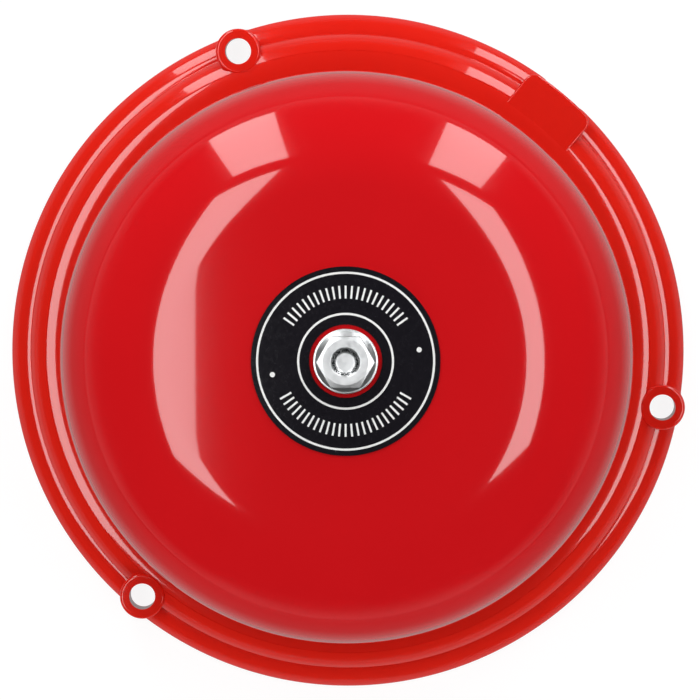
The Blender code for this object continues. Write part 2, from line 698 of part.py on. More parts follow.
def base():
    shell = base_shell()
    join(shell, *base_lugs(), base_hood(), base_ribs(), *base_bosses())
    cut(shell, base_hood_hollow(), base_cable_slot(), base_holes(), base_wall_side())


def dome(depth):
    """Section of the gong from its flat seat to its rim, at a depth below the outer face."""
    crown = CROWN_RADIUS - depth
    seat = asin((GONG_SEAT - depth - CROWN_LEVEL) / crown)
    haunch_start = pi / 2 - HAUNCH_SLOPE
    shoulder_start = pi / 2 - SHOULDER_SLOPE
    section = [(GONG_HOLE_RADIUS, GONG_SEAT - depth)]
    section += arc((0, CROWN_LEVEL), crown, seat, haunch_start, CROWN_STEPS)
    section += arc((HAUNCH_CENTRE_RADIUS, HAUNCH_LEVEL), HAUNCH_RADIUS - depth, haunch_start, shoulder_start,
                   CROWN_STEPS)[1:]
    section += arc((SHOULDER_CENTRE_RADIUS, SHOULDER_LEVEL), SHOULDER_RADIUS - depth, shoulder_start, 0,
                   SHOULDER_STEPS)[1:]
    return section + [(GONG_RADIUS - depth, GONG_RIM)]


def gong():
    """The pressed dome: a flat seat, a wide crown, a haunch, a tighter shoulder and a straight skirt."""
    turned("gong", dome(0) + dome(GONG_WALL)[::-1], RED_ENAMEL, steps=LARGE_STEPS)


def gong_label():
    """A thin ring that follows the crown."""
    def surface(offset):
        radius = CROWN_RADIUS + offset
        inner = pi / 2 - asin(LABEL_INNER_RADIUS / radius)
        outer = pi / 2 - asin(LABEL_OUTER_RADIUS / radius)
        return arc((0, CROWN_LEVEL), radius, inner, outer, 1)
    profile = surface(LABEL_GAP + LABEL_THICKNESS) + surface(LABEL_GAP)[::-1]
    turned("gong_label", profile, BLACK_FILM, steps=LARGE_STEPS)


def gong_bolt():
    """Hexagon flange bolt with a dished head."""
    flange_top = BOLT_SEAT + BOLT_FLANGE_THICKNESS
    head_top = flange_top + BOLT_HEX_HEIGHT
    profile = filleted([
        (0, flange_top, 0),
        (BOLT_FLANGE_RADIUS, flange_top, BOLT_FLANGE_FILLET),
        (BOLT_FLANGE_RADIUS, BOLT_SEAT, 0),
        (BOLT_RADIUS, BOLT_SEAT, 0),
        (BOLT_RADIUS, BOLT_SEAT - BOLT_LENGTH, 0),
        (0, BOLT_SEAT - BOLT_LENGTH, 0),
    ])
    bolt = turned("gong_bolt", profile, ZINC, closed=False, steps=MEDIUM_STEPS)
    corner = hex_corner(BOLT_HEX_ACROSS)
    crown = turned("bolt_crown", [(0, head_top), (corner - BOLT_CHAMFER, head_top),
                                  (corner, head_top - BOLT_CHAMFER),
                                  (corner, BOLT_SEAT), (0, BOLT_SEAT)], closed=False, steps=MEDIUM_STEPS)
    sunk = flange_top - BOLT_FLANGE_THICKNESS / 2
    head = plate("bolt_head", [hexagon(BOLT_HEX_ACROSS, BOLT_HEX_TURN)], sunk, head_top + CUT_MARGIN)
    boolean(head, crown, "INTERSECT")
    dish = turned("bolt_dish", [(0, head_top + CUT_MARGIN), (BOLT_DISH_RADIUS, head_top + CUT_MARGIN),
                                (BOLT_DISH_RADIUS, head_top - BOLT_DISH_DEPTH / 2),
                                (BOLT_DISH_RADIUS / 2, head_top - BOLT_DISH_DEPTH),
                                (0, head_top - BOLT_DISH_DEPTH)], closed=False, steps=MEDIUM_STEPS)
    join(bolt, head)
    cut(bolt, dish)


def gong_post():
    """The pillar that carries the gong: a foot flange, a tapped bore above and a stud below."""
    bore = BOLT_RADIUS + SEAT_GAP
    profile = filleted([
        (0, POST_BORE_BOTTOM, 0),
        (bore, POST_BORE_BOTTOM, 0),
        (bore, POST_TOP, 0),
        (POST_RADIUS - POST_CHAMFER, POST_TOP, 0),
        (POST_RADIUS, POST_TOP - POST_CHAMFER, 0),
        (POST_RADIUS, POST_FOOT + POST_FLANGE_THICKNESS, POST_CHAMFER),
        (POST_FLANGE_RADIUS, POST_FOOT + POST_FLANGE_THICKNESS, POST_CHAMFER),
        (POST_FLANGE_RADIUS, POST_FOOT, 0),
        (STUD_RADIUS, POST_FOOT, 0),
        (STUD_RADIUS, STUD_END, 0),
        (0, STUD_END, 0),
    ])
    turned("gong_post", profile, STEEL, closed=False, steps=MEDIUM_STEPS)


def gong_fixings():
    tube("gong_washer", GONG_WASHER_RADIUS, BOLT_RADIUS + SEAT_GAP, GONG_WASHER_TOP - GONG_WASHER_THICKNESS,
         GONG_WASHER_TOP, FIBRE, steps=MEDIUM_STEPS)
    tube("post_washer", POST_WASHER_RADIUS, STUD_HOLE_RADIUS, POST_WASHER_TOP - POST_WASHER_THICKNESS,
         POST_WASHER_TOP, ZINC, steps=MEDIUM_STEPS)
    plate("post_nut", [hexagon(POST_NUT_ACROSS), circle(STUD_HOLE_RADIUS)],
          POST_NUT_TOP - POST_NUT_HEIGHT, POST_NUT_TOP, ZINC)


def slotted_screw(name, levels, shank, head, location, material, parent=None):
    """A screw along Z whose head lies beyond its seat, seen from its tip."""
    tip, seat, head_end = levels
    profile = [(0, tip), (shank, tip), (shank, seat), (head, seat), (head, head_end), (0, head_end)]
    if head_end > seat:
        profile.reverse()
    screw = turned(name, profile, material, closed=False, steps=FINE_STEPS)
    slot_size = (3 * head, SCREW_SLOT_WIDTH, 2 * SCREW_SLOT_DEPTH)
    slot = boxes(f"{name}_slot", [box_matrix(slot_size, (0, 0, head_end))])
    cut(screw, slot)
    place(slot, location, 0, parent)
    return place(screw, location, 0, parent)


def motor_case(axis):
    """Can, end cap, magnet, bushes, pad and screws."""
    inner = MOTOR_RADIUS - CAN_WALL
    bush_hole = FRONT_BUSH_RADIUS + SEAT_GAP
    can = turned("motor_can", filleted([
        (bush_hole, MOTOR_FACE + CAN_NOSE_HEIGHT, 0),
        (CAN_NOSE_RADIUS, MOTOR_FACE + CAN_NOSE_HEIGHT, 0),
        (CAN_NOSE_RADIUS, MOTOR_FACE, 0),
        (MOTOR_RADIUS, MOTOR_FACE, MOTOR_EDGE_FILLET),
        (MOTOR_RADIUS, MOTOR_BACK, 0),
        (inner, MOTOR_BACK, 0),
        (inner, CAN_INSIDE, 0),
        (bush_hole, CAN_INSIDE, 0),
    ]), STEEL, steps=MEDIUM_STEPS)
    half = MOTOR_SCREW_PITCH / 2
    taps = cylinders("motor_taps", [(x, 0, MOTOR_SCREW_RADIUS + SEAT_GAP, CAN_INSIDE - CUT_MARGIN,
                                     MOTOR_FACE + CUT_MARGIN) for x in (-half, half)], steps=FINE_STEPS)
    cut(can, place(taps, parent=axis))
    cap = tube("motor_end_cap", inner - SEAT_GAP, REAR_BUSH_RADIUS + SEAT_GAP, MOTOR_BACK, CAP_TOP,
               BLACK_PLASTIC, steps=MEDIUM_STEPS)
    slot = (BRUSH_THICKNESS + 2 * SEAT_GAP, BRUSH_WIDTH + 2 * SEAT_GAP, 4 * CAP_THICKNESS)
    slots = boxes("tab_slots", [box_matrix(slot, (x, 0, CAP_TOP)) for x in (-TAB_RADIUS, TAB_RADIUS)])
    cut(cap, place(slots, parent=axis))
    magnet = tube("motor_magnet", MAGNET_OUTER_RADIUS, MAGNET_INNER_RADIUS, CORE_BOTTOM - MAGNET_OVERHANG,
                  CORE_TOP + MAGNET_OVERHANG, FERRITE, steps=MEDIUM_STEPS)
    bore = SHAFT_RADIUS + RUNNING_GAP
    nose_top = MOTOR_FACE + CAN_NOSE_HEIGHT
    front = tube("motor_front_bush", FRONT_BUSH_RADIUS, bore, nose_top - FRONT_BUSH_LENGTH, nose_top, BRONZE)
    rear = tube("motor_rear_bush", REAR_BUSH_RADIUS, bore, MOTOR_BACK, CAP_TOP, BRONZE)
    pad = tube("motor_pad", MOTOR_RADIUS - MOTOR_EDGE_FILLET, MOTOR_RADIUS - MOTOR_EDGE_FILLET - PAD_WIDTH,
               MOTOR_FACE + SEAT_GAP, PAD_TOP, FIBRE, steps=MEDIUM_STEPS)
    for piece in (can, cap, magnet, front, rear, pad):
        place(piece, parent=axis)
    for number, x in enumerate((-half, half), 1):
        slotted_screw(f"motor_screw_{number}", (CAN_INSIDE, SCREW_SEAT, SCREW_SEAT + SCREW_HEAD_HEIGHT),
                      MOTOR_SCREW_RADIUS, SCREW_HEAD_RADIUS, (x, 0, 0), ZINC, axis)


def motor_brushes(axis):
    """Spring strips: a solder tab through the end cap, a run along it and a leaf on the commutator."""
    tab_in = TAB_RADIUS - BRUSH_THICKNESS / 2
    tab_out = TAB_RADIUS + BRUSH_THICKNESS / 2
    run_low = CAP_TOP + SEAT_GAP
    run_high = run_low + BRUSH_THICKNESS
    leaf_in = COMMUTATOR_RADIUS + SEAT_GAP
    leaf_out = leaf_in + BRUSH_THICKNESS
    outline = [(tab_in, TAB_END), (tab_out, TAB_END), (tab_out, run_high), (leaf_out, run_high),
               (leaf_out, COMMUTATOR_TOP), (leaf_in, COMMUTATOR_TOP), (leaf_in, run_low), (tab_in, run_low)]
    for number, angle in ((1, pi), (2, 0)):
        brush = upright_plate(f"motor_brush_{number}", [outline], BRUSH_WIDTH, BRASS)
        place(brush, (0, 0, 0), angle, axis)


def core_outline():
    """Plan of the armature laminations: a hub, straight necks and curved pole shoes."""
    half = NECK_WIDTH / 2
    tip_x, tip_y = polar(CORE_RADIUS - SHOE_TIP, POLE_HALF_ANGLE)
    root_x = sqrt(CORE_HUB_RADIUS ** 2 - half ** 2)
    heel = half + COIL_BUILD + 2 * SEAT_GAP
    upper = [(tip_x, tip_y), (SHOE_INNER, heel), (SHOE_INNER, half), (root_x, half)]
    lower = [(x, -y) for x, y in reversed(upper)]
    pole = lower + arc((0, 0), CORE_RADIUS, -POLE_HALF_ANGLE, POLE_HALF_ANGLE, EYE_STEPS) + upper
    outline = []
    for number in range(POLE_COUNT):
        turn = Matrix.Rotation(2 * pi * number / POLE_COUNT, 2)
        outline += [tuple(turn @ Vector(point)) for point in pole]
    return outline


def armature(axis):
    """Laminated core, one coil on each neck, commutator and shaft."""
    press = SHAFT_RADIUS + RUNNING_GAP
    outlines = [core_outline(), circle(press, steps=FINE_STEPS)]
    core = plate("armature_core", outlines, CORE_BOTTOM, CORE_TOP, STEEL)
    place(core, parent=axis)
    start = sqrt(CORE_HUB_RADIUS ** 2 - (NECK_WIDTH / 2) ** 2) + SEAT_GAP + COIL_BUILD / 2
    end = SHOE_INNER - SEAT_GAP
    middle = (CORE_TOP + CORE_BOTTOM) / 2
    inner_width = NECK_WIDTH / 2 + SEAT_GAP
    inner_height = CORE_THICKNESS / 2 + SEAT_GAP

    def winding(build):
        x = inner_width + build
        z = inner_height + build
        return filleted([(-x, -z, build), (x, -z, build), (x, z, build), (-x, z, build)])
    for number in range(1, POLE_COUNT + 1):
        mesh = plate_mesh(f"armature_coil_{number}", [winding(COIL_BUILD), winding(0)], start, end)
        mesh.transform(Matrix.Translation((0, 0, middle)) @ Matrix(((0, 0, 1, 0), (1, 0, 0, 0),
                                                                  (0, 1, 0, 0), (0, 0, 0, 1))))
        coil = add_object(f"armature_coil_{number}", mesh, COPPER)
        place(coil, (0, 0, 0), 2 * pi * (number - 1) / POLE_COUNT, axis)
    commutator = tube("commutator", COMMUTATOR_RADIUS, press, COMMUTATOR_BOTTOM, COMMUTATOR_TOP, COPPER)
    place(commutator, parent=axis)
    shaft = turned("motor_shaft", [(0, SHAFT_TOP), (SHAFT_RADIUS, SHAFT_TOP), (SHAFT_RADIUS, MOTOR_BACK),
                                   (0, MOTOR_BACK)], STEEL, closed=False)
    place(shaft, parent=axis)


def belt(first, second):
    """Outline of a strap round two circles, each given as (x, y, radius)."""
    run = Vector(second[:2]) - Vector(first[:2])
    heading = atan2(run.y, run.x)
    lean = acos((first[2] - second[2]) / run.length)
    outline = arc(second[:2], second[2], heading - lean, heading + lean, EYE_STEPS)
    return outline + arc(first[:2], first[2], heading + lean, heading - lean + 2 * pi, EYE_STEPS)


def hammer_carrier(axis):
    """Arm pressed on the shaft: an eye for each hammer pin and a stop peg beside each eye."""
    eyes = [(x, 0, CARRIER_EYE_RADIUS) for x in (PIVOT_RADIUS, -PIVOT_RADIUS)]
    outline = belt(*eyes)
    carrier = plate("hammer_carrier", [outline], CARRIER_BOTTOM, CARRIER_TOP, CARRIER_PLASTIC)
    peg_x = PIVOT_RADIUS + PEG_DISTANCE * cos(PEG_ANGLE)
    peg_y = PEG_DISTANCE * sin(PEG_ANGLE)
    pegs = []
    for number, side in enumerate((1, -1), 1):
        land = (side * peg_x, side * peg_y, PEG_RADIUS + PEG_LAND)
        pegs.append(plate(f"peg_land_{number}", [belt(eyes[number - 1], land)],
                          CARRIER_BOTTOM + PEG_LAND_INSET, CARRIER_TOP - PEG_LAND_INSET))
    sunk = CARRIER_TOP - CARRIER_THICKNESS / 2
    rows = [(0, 0, HUB_RADIUS, sunk, HUB_TOP)]
    for side in (1, -1):
        rows.append((side * peg_x, side * peg_y, PEG_RADIUS, sunk, HAMMER_ARM_TOP))
        rows.append((side * PIVOT_RADIUS, 0, EYE_BOSS_RADIUS, sunk, EYE_BOSS_TOP))
    raised = cylinders("carrier_raised", rows)
    rows = [(0, 0, SHAFT_RADIUS + RUNNING_GAP, CARRIER_BOTTOM - CUT_MARGIN, HUB_TOP + CUT_MARGIN)]
    rows += [(x, 0, PIN_RADIUS + RUNNING_GAP, CARRIER_BOTTOM - CUT_MARGIN, EYE_BOSS_TOP + CUT_MARGIN)
             for x in (-PIVOT_RADIUS, PIVOT_RADIUS)]
    holes = cylinders("carrier_holes", rows, steps=FINE_STEPS)
    join(carrier, *pegs, raised)
    cut(carrier, holes)
    for piece in (carrier, *pegs, raised, holes):
        place(piece, (0, 0, 0), ROTOR_ANGLE, axis)


def hammer(number, pivot):
    """A steel hammer on its pin: an eye, an arm and a round head with soft edges."""
    pin_top = HAMMER_ARM_TOP + SEAT_GAP
    pin_end = pin_top + PIN_HEAD_HEIGHT
    profile = [(0, pin_end), (PIN_HEAD_RADIUS, pin_end), (PIN_HEAD_RADIUS, pin_top),
               (PIN_RADIUS, pin_top), (PIN_RADIUS, CARRIER_BOTTOM), (0, CARRIER_BOTTOM)]
    pin = turned(f"hammer_pin_{number}", profile, ZINC, closed=False, steps=FINE_STEPS)
    place(pin, parent=pivot)
    head_top = HAMMER_BOTTOM + HAMMER_HEAD_HEIGHT
    head = turned(f"hammer_{number}", filleted([
        (0, head_top, 0), (HAMMER_HEAD_RADIUS, head_top, HAMMER_HEAD_FILLET),
        (HAMMER_HEAD_RADIUS, HAMMER_BOTTOM, HAMMER_HEAD_FILLET), (0, HAMMER_BOTTOM, 0)]),
        STEEL, closed=False, steps=MEDIUM_STEPS)
    place(head, (*polar(HAMMER_LENGTH, HAMMER_FOLD), 0), HAMMER_FOLD, pivot)
    eye = (-HAMMER_LENGTH, 0, HAMMER_EYE_RADIUS)
    hole = circle(PIN_RADIUS + PIVOT_GAP, eye[:2], FINE_STEPS)
    arm = plate(f"hammer_arm_{number}", [belt(eye, (0, 0, HAMMER_NECK_RADIUS)), hole],
                HAMMER_ARM_BOTTOM, HAMMER_ARM_TOP)
    place(arm, head.location, HAMMER_FOLD, pivot)
    join(head, arm)


def terminal_block():
    """Moulded body with two barrels, four clamp screws and one fixing screw."""
    outline = filleted([(x * TERMINAL_LENGTH / 2, y * TERMINAL_WIDTH / 2, TERMINAL_FILLET)
                        for x, y in ((-1, -1), (1, -1), (1, 1), (-1, 1))])
    body = plate("terminal_body", [outline], TERMINAL_BOTTOM, TERMINAL_TOP, WHITE_PLASTIC)
    middle = (0, TERMINAL_OFFSET, 0)
    place(body, middle)
    low = TERMINAL_BOTTOM - CUT_MARGIN
    places = [(x, y) for x in TERMINAL_SIDES for y in CLAMP_ROWS]
    wells = [(x, y, CLAMP_HEAD_RADIUS + SEAT_GAP, low, BARREL_LEVEL) for x, y in places]
    wells.append((0, 0, FIXING_RADIUS + SEAT_GAP, low, TERMINAL_TOP + CUT_MARGIN))
    cut(body, place(cylinders("terminal_wells", wells, steps=FINE_STEPS), middle))
    taps = [(x, y, CLAMP_RADIUS + SEAT_GAP, low, BARREL_LEVEL) for x, y in places]
    clamp_taps = place(cylinders("clamp_taps", taps, steps=FINE_STEPS), middle)
    for number, x in enumerate(TERMINAL_SIDES, 1):
        centre = (x, TERMINAL_OFFSET, BARREL_LEVEL)
        through = 2 * TERMINAL_WIDTH
        hole = lying_cylinder(f"barrel_hole_{number}", BARREL_RADIUS + SEAT_GAP, through, centre, "Y")
        cut(body, hole)
        barrel = lying_cylinder(f"terminal_barrel_{number}", BARREL_RADIUS, TERMINAL_WIDTH, centre, "Y",
                                BRASS)
        bore = lying_cylinder(f"barrel_bore_{number}", BARREL_BORE_RADIUS, through, centre, "Y",
                              steps=FINE_STEPS)
        cut(barrel, bore, clamp_taps)
    for number, (x, y) in enumerate(places, 1):
        slotted_screw(f"terminal_screw_{number}", (CLAMP_TIP, CLAMP_SEAT, CLAMP_SEAT - CLAMP_HEAD_HEIGHT),
                      CLAMP_RADIUS, CLAMP_HEAD_RADIUS, (x, TERMINAL_OFFSET + y, 0), ZINC)
    seat = TERMINAL_BOTTOM - SEAT_GAP
    slotted_screw("terminal_fixing_screw", (TERMINAL_TOP + FIXING_DEPTH, seat, seat - SCREW_HEAD_HEIGHT),
                  FIXING_RADIUS, SCREW_HEAD_RADIUS, middle, ZINC)


def smooth_route(points, spacing):
    """Points read at a spacing from a smooth curve through the points of a route."""
    ends = [2 * points[0] - points[1], *points, 2 * points[-1] - points[-2]]
    route = []
    for before, start, end, after in zip(ends, ends[1:], ends[2:], ends[3:]):
        count = max(1, round((end - start).length / spacing))
        for step in range(count):
            t = step / count
            linear = end - before
            square = 2 * before - 5 * start + 4 * end - after
            cubic = 3 * start - before - 3 * end + after
            route.append(start + (linear * t + square * t ** 2 + cubic * t ** 3) / 2)
    return route + [points[-1]]


def lead(name, side, material):
    """Insulated wire from the inside of a barrel, round the post nut, to the solder tab of the motor."""
    tab_x = TAB_RADIUS + BRUSH_THICKNESS / 2 + SEAT_GAP
    low = MOTOR_BACK - SEAT_GAP - LEAD_RADIUS
    barrel_end = TERMINAL_OFFSET - TERMINAL_WIDTH / 2
    route = [
        (TERMINAL_PITCH / 2, barrel_end + LEAD_TUCK, BARREL_LEVEL),
        (TERMINAL_PITCH / 2, barrel_end - LEAD_STRAIGHT, BARREL_LEVEL),
        *LEAD_BENDS,
        (MOTOR_RADIUS + LEAD_LOOP_OUT, LEAD_LOOP_BACK - MOTOR_OFFSET, low + LEAD_LOOP_RISE),
        (MOTOR_RADIUS + LEAD_RUN_IN, LEAD_RUN_IN - MOTOR_OFFSET, low),
        (tab_x, -MOTOR_OFFSET, low),
    ]
    curve = bpy.data.curves.new(name, "CURVE")
    curve.dimensions = "3D"
    curve.bevel_depth = LEAD_RADIUS
    curve.bevel_resolution = 1
    curve.use_fill_caps = True
    spline = curve.splines.new("POLY")
    points = smooth_route([Vector((side * x, y, z)) for x, y, z in route], LEAD_POINT_SPACING)
    spline.points.add(len(points) - 1)
    for point, position in zip(spline.points, points):
        point.co = (*position, 1)
    add_object(name, curve_mesh(name, curve), material)


def suppressor(axis):
    """Disc capacitor across the tabs, flat against the back of the motor."""
    top = MOTOR_BACK - SEAT_GAP
    bottom = top - SUPPRESSOR_THICKNESS
    rounding = SUPPRESSOR_THICKNESS / 4
    profile = filleted([(0, top, 0), (SUPPRESSOR_RADIUS, top, rounding),
                        (SUPPRESSOR_RADIUS, bottom, rounding), (0, bottom, 0)])
    disc = turned("suppressor", profile, CERAMIC, closed=False)
    level = (top + bottom) / 2
    reach = TAB_RADIUS - BRUSH_THICKNESS / 2 - SEAT_GAP
    legs = lying_cylinder("suppressor_legs", SUPPRESSOR_LEG_RADIUS, 2 * reach, (0, 0, level), "X",
                          steps=EYE_STEPS)
    join(disc, legs)
    for piece in (disc, legs):
        place(piece, parent=axis)


clear_scene()
PARTS = new_collection("fire_alarm_bell")
TOOLS = new_collection("cutters")

RED_PLASTIC = finish("red_moulded_plastic", (0.80, 0.09, 0.08), 0.35)
RED_ENAMEL = finish("red_enamel_on_steel", (0.76, 0.09, 0.10), 0.2)
BLACK_FILM = finish("black_printed_film", (0.09, 0.08, 0.10), 0.4)
ZINC = finish("zinc_plate", (0.75, 0.74, 0.72), 0.3, 1.0)
STEEL = finish("bright_steel", (0.62, 0.62, 0.63), 0.3, 1.0)
BRASS = finish("brass", (0.80, 0.66, 0.36), 0.3, 1.0)
BRONZE = finish("sintered_bronze", (0.62, 0.46, 0.30), 0.5, 1.0)
COPPER = finish("copper", (0.78, 0.44, 0.28), 0.3, 1.0)
FERRITE = finish("ferrite", (0.16, 0.16, 0.17), 0.6)
FIBRE = finish("vulcanised_fibre", (0.45, 0.25, 0.18), 0.7)
BLACK_PLASTIC = finish("black_plastic", (0.07, 0.07, 0.07), 0.45)
CARRIER_PLASTIC = finish("natural_acetal", (0.88, 0.87, 0.82), 0.4)
WHITE_PLASTIC = finish("white_polyamide", (0.86, 0.86, 0.83), 0.4)
RED_SLEEVE = finish("red_wire_sleeve", (0.70, 0.08, 0.08), 0.45)
BLACK_SLEEVE = finish("black_wire_sleeve", (0.06, 0.06, 0.06), 0.45)
CERAMIC = finish("ochre_ceramic", (0.70, 0.45, 0.20), 0.5)

base()
gong()
gong_label()
gong_bolt()
gong_post()
gong_fixings()

motor_axis = add_empty("motor_axis", (0, -MOTOR_OFFSET, 0))
motor_case(motor_axis)
motor_brushes(motor_axis)
armature(motor_axis)
suppressor(motor_axis)

hammer_carrier(motor_axis)
for hammer_number, hammer_angle in enumerate(HAMMER_ANGLES, 1):
    hammer_pivot = add_empty(f"hammer_pivot_{hammer_number}", (*polar(PIVOT_RADIUS, hammer_angle), 0),
                             hammer_angle, motor_axis)
    hammer(hammer_number, hammer_pivot)

terminal_block()
lead("lead_red", -1, RED_SLEEVE)
lead("lead_black", 1, BLACK_SLEEVE)
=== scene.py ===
"""Looks of the motor driven fire alarm bell: fine pieces, finishes, studio light and camera.

The frame is the CAD part: wall plane at z = 0, gong axis along Z, cable hood towards +Y.
The picture was taken from almost straight above, with the hood at its upper right.
"""
from math import asin, cos, pi, radians, sin, sqrt, tan

import bmesh
import bpy
from mathutils import Matrix, Vector


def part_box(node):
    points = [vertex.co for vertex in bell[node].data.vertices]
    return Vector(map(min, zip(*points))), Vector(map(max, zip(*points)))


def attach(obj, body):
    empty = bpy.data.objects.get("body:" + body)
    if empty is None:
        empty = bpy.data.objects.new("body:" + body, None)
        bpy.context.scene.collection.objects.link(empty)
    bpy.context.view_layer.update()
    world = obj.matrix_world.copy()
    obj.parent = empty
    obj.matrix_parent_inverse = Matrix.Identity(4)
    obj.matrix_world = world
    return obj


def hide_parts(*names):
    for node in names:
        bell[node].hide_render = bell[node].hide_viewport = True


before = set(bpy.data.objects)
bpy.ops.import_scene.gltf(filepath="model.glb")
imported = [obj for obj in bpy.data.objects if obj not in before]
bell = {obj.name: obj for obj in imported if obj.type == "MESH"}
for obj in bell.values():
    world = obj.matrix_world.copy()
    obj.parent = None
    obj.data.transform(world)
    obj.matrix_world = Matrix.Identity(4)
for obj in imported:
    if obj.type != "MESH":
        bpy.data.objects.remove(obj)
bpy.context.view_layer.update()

MM = 0.001
MERGE = 0.002 * MM
SEAT_GAP = 0.2 * MM
UP = Vector((0, 0, 1))

# Fineness: steps round the turned pieces and the round tools, and along the arcs of the outlines
GONG_STEPS = 288
BASE_STEPS = 288
HEX_STEPS = 192
CAN_STEPS = 128
SMALL_STEPS = 64
WELL_STEPS = 48
LEG_STEPS = 24
SHOULDER_STEPS = 28
HAUNCH_STEPS = 24
CROWN_STEPS = 16
LABEL_STEPS = 24
STEP_FACE_STEPS = 14
FLANGE_STEPS = 8
HOOD_STEPS = 6
BLEND_STEPS = 10
FILLET_STEPS = 8

# Edges that turn by more than these are shaded as edges, softened, or are corners of a hexagon
SMOOTH_LIMIT = radians(32)
SHARP_LIMIT = radians(60)
HEX_CORNER_LIMIT = radians(50)

# Axes that swing an outline in the XZ plane towards the axis of the gong, and away from it
INWARDS = (0, -1, 0)
OUTWARDS = (0, 1, 0)

# Base moulding. It runs on to a level below the wall plane and is trimmed there. What is joined to it or
# cut from it starts at other multiples of that level, so that no two faces lie in one plane.
WALL_SIDE = -1.0 * MM
BASE_RADIUS = 60.0 * MM
RIM_HEIGHT = 4.0 * MM
RIM_FACE_RADIUS = 56.5 * MM
RIM_START_SLOPE = radians(1)
STEP_EDGE_RADIUS = 56.4 * MM
STEP_TOP = 8.18 * MM
STEP_FACE_RADIUS = 53.65 * MM
STEP_START_SLOPE = radians(16.5)
FACE_END_SLOPE = radians(63)
GROOVE_WIDTH = 0.1 * MM
GROOVE_DEPTH = 0.05 * MM
FLANGE_EDGE_RADIUS = STEP_FACE_RADIUS - GROOVE_WIDTH
FLANGE_EDGE_SLOPE = radians(10.2)
FLANGE_ROUND = 11.6 * MM
FLANGE_TOP = STEP_TOP + FLANGE_ROUND * (1 - cos(FLANGE_EDGE_SLOPE))
DRUM_RADIUS = 48.6 * MM
DECK_TOP = 23.6 * MM
DECK_THICKNESS = 2.5 * MM
DECK_UNDERSIDE = DECK_TOP - DECK_THICKNESS
DRUM_EDGE_ROUND = 1.2 * MM
DRUM_FOOT_ROUND = 0.7 * MM
DRUM_CORNER_ROUND = 1.5 * MM
STEP_FOOT_ROUND = 0.15 * MM
STEP_EDGE_ROUND = 0.06 * MM
BASE_WALL = 2.2 * MM
LUG_ANGLES = (radians(30), radians(150), radians(270))
LUG_PITCH_RADIUS = 56.9 * MM
LUG_RADIUS = 4.0 * MM
LUG_HEIGHT = 8.4 * MM
LUG_EDGE_ROUND = 0.5 * MM
LUG_HOLE_RADIUS = 2.3 * MM
LUG_BLEND_RADIUS = 1.8 * MM
LUG_BLEND_TOP = 1.5 * MM
LUG_BLEND_INSIDE = (0.5 * MM, 2.0 * MM)
HOOD_WIDTH = 14.0 * MM
HOOD_RADIUS = 59.8 * MM
HOOD_TOP = 8.3 * MM
HOOD_INNER = 51.0 * MM
HOOD_CORNER = 1.8 * MM
HOOD_EDGE_ROUND = 0.3 * MM
HOOD_ROOF_UNDERSIDE = 6.4 * MM
HOOD_HOLLOW_REACH = 8.0 * MM
CABLE_SLOT_WIDTH = 8.0 * MM
CABLE_SLOT_HEIGHT = 6.2 * MM
CABLE_SLOT_REACH = 5.0 * MM
RIB_ANGLES = tuple(radians(angle) for angle in (0, 50, 130, 180, 210, 330))
RIB_THICKNESS = 1.6 * MM
RIB_DEPTH = 5.0 * MM
RIB_SINK = 0.75 * MM
STUD_HOLE_RADIUS = 3.2 * MM
BOSS_RADIUS = 9.0 * MM
BOSS_UNDERSIDE = 18.1 * MM
COLLAR_WALL = 1.6 * MM
COLLAR_DEPTH = 4.0 * MM
COLLAR_ROUND = 0.4 * MM
BLOCK_SEAT_HEIGHT = 2.4 * MM

# Gong
GONG_RADIUS = 50.0 * MM
GONG_WALL = 1.2 * MM
GONG_RIM = 25.2 * MM
SHOULDER_LEVEL = 35.5 * MM
SHOULDER_RADIUS = 15.5 * MM
SHOULDER_SLOPE = radians(41)
HAUNCH_RADIUS = 26.0 * MM
HAUNCH_SLOPE = radians(5.5)
GONG_SEAT_RADIUS = 6.0 * MM
GONG_HOLE_RADIUS = 3.2 * MM
GONG_EDGE_ROUND = 0.35 * MM
SHOULDER_CENTRE = GONG_RADIUS - SHOULDER_RADIUS
HAUNCH_EXCESS = HAUNCH_RADIUS - SHOULDER_RADIUS
HAUNCH_CENTRE = SHOULDER_CENTRE - HAUNCH_EXCESS * sin(SHOULDER_SLOPE)
HAUNCH_LEVEL = SHOULDER_LEVEL - HAUNCH_EXCESS * cos(SHOULDER_SLOPE)
CROWN_RADIUS = HAUNCH_RADIUS + HAUNCH_CENTRE / sin(HAUNCH_SLOPE)
CROWN_LEVEL = HAUNCH_LEVEL - (CROWN_RADIUS - HAUNCH_RADIUS) * cos(HAUNCH_SLOPE)
GONG_SEAT = CROWN_LEVEL + sqrt(CROWN_RADIUS ** 2 - GONG_SEAT_RADIUS ** 2)

# Label and its print
LABEL_INNER_RADIUS = 6.3 * MM
LABEL_OUTER_RADIUS = 16.3 * MM
LABEL_GAP = 0.1 * MM
LABEL_THICKNESS = 0.2 * MM
RING_RADII = (8.15 * MM, 15.22 * MM)
RING_WIDTH = 0.37 * MM
DOT_RADIUS = 0.45 * MM
DOT_CIRCLE = 12.8 * MM
DOT_ANGLES = (radians(100.4), radians(-81.1))
TICK_CIRCLE = 11.9 * MM
TICK_LENGTH = 2.2 * MM
TICK_WIDTH = 0.34 * MM
TICK_SPACING = radians(5)
TICK_UPPER_END = radians(57)
TICK_LOWER_START = radians(118)

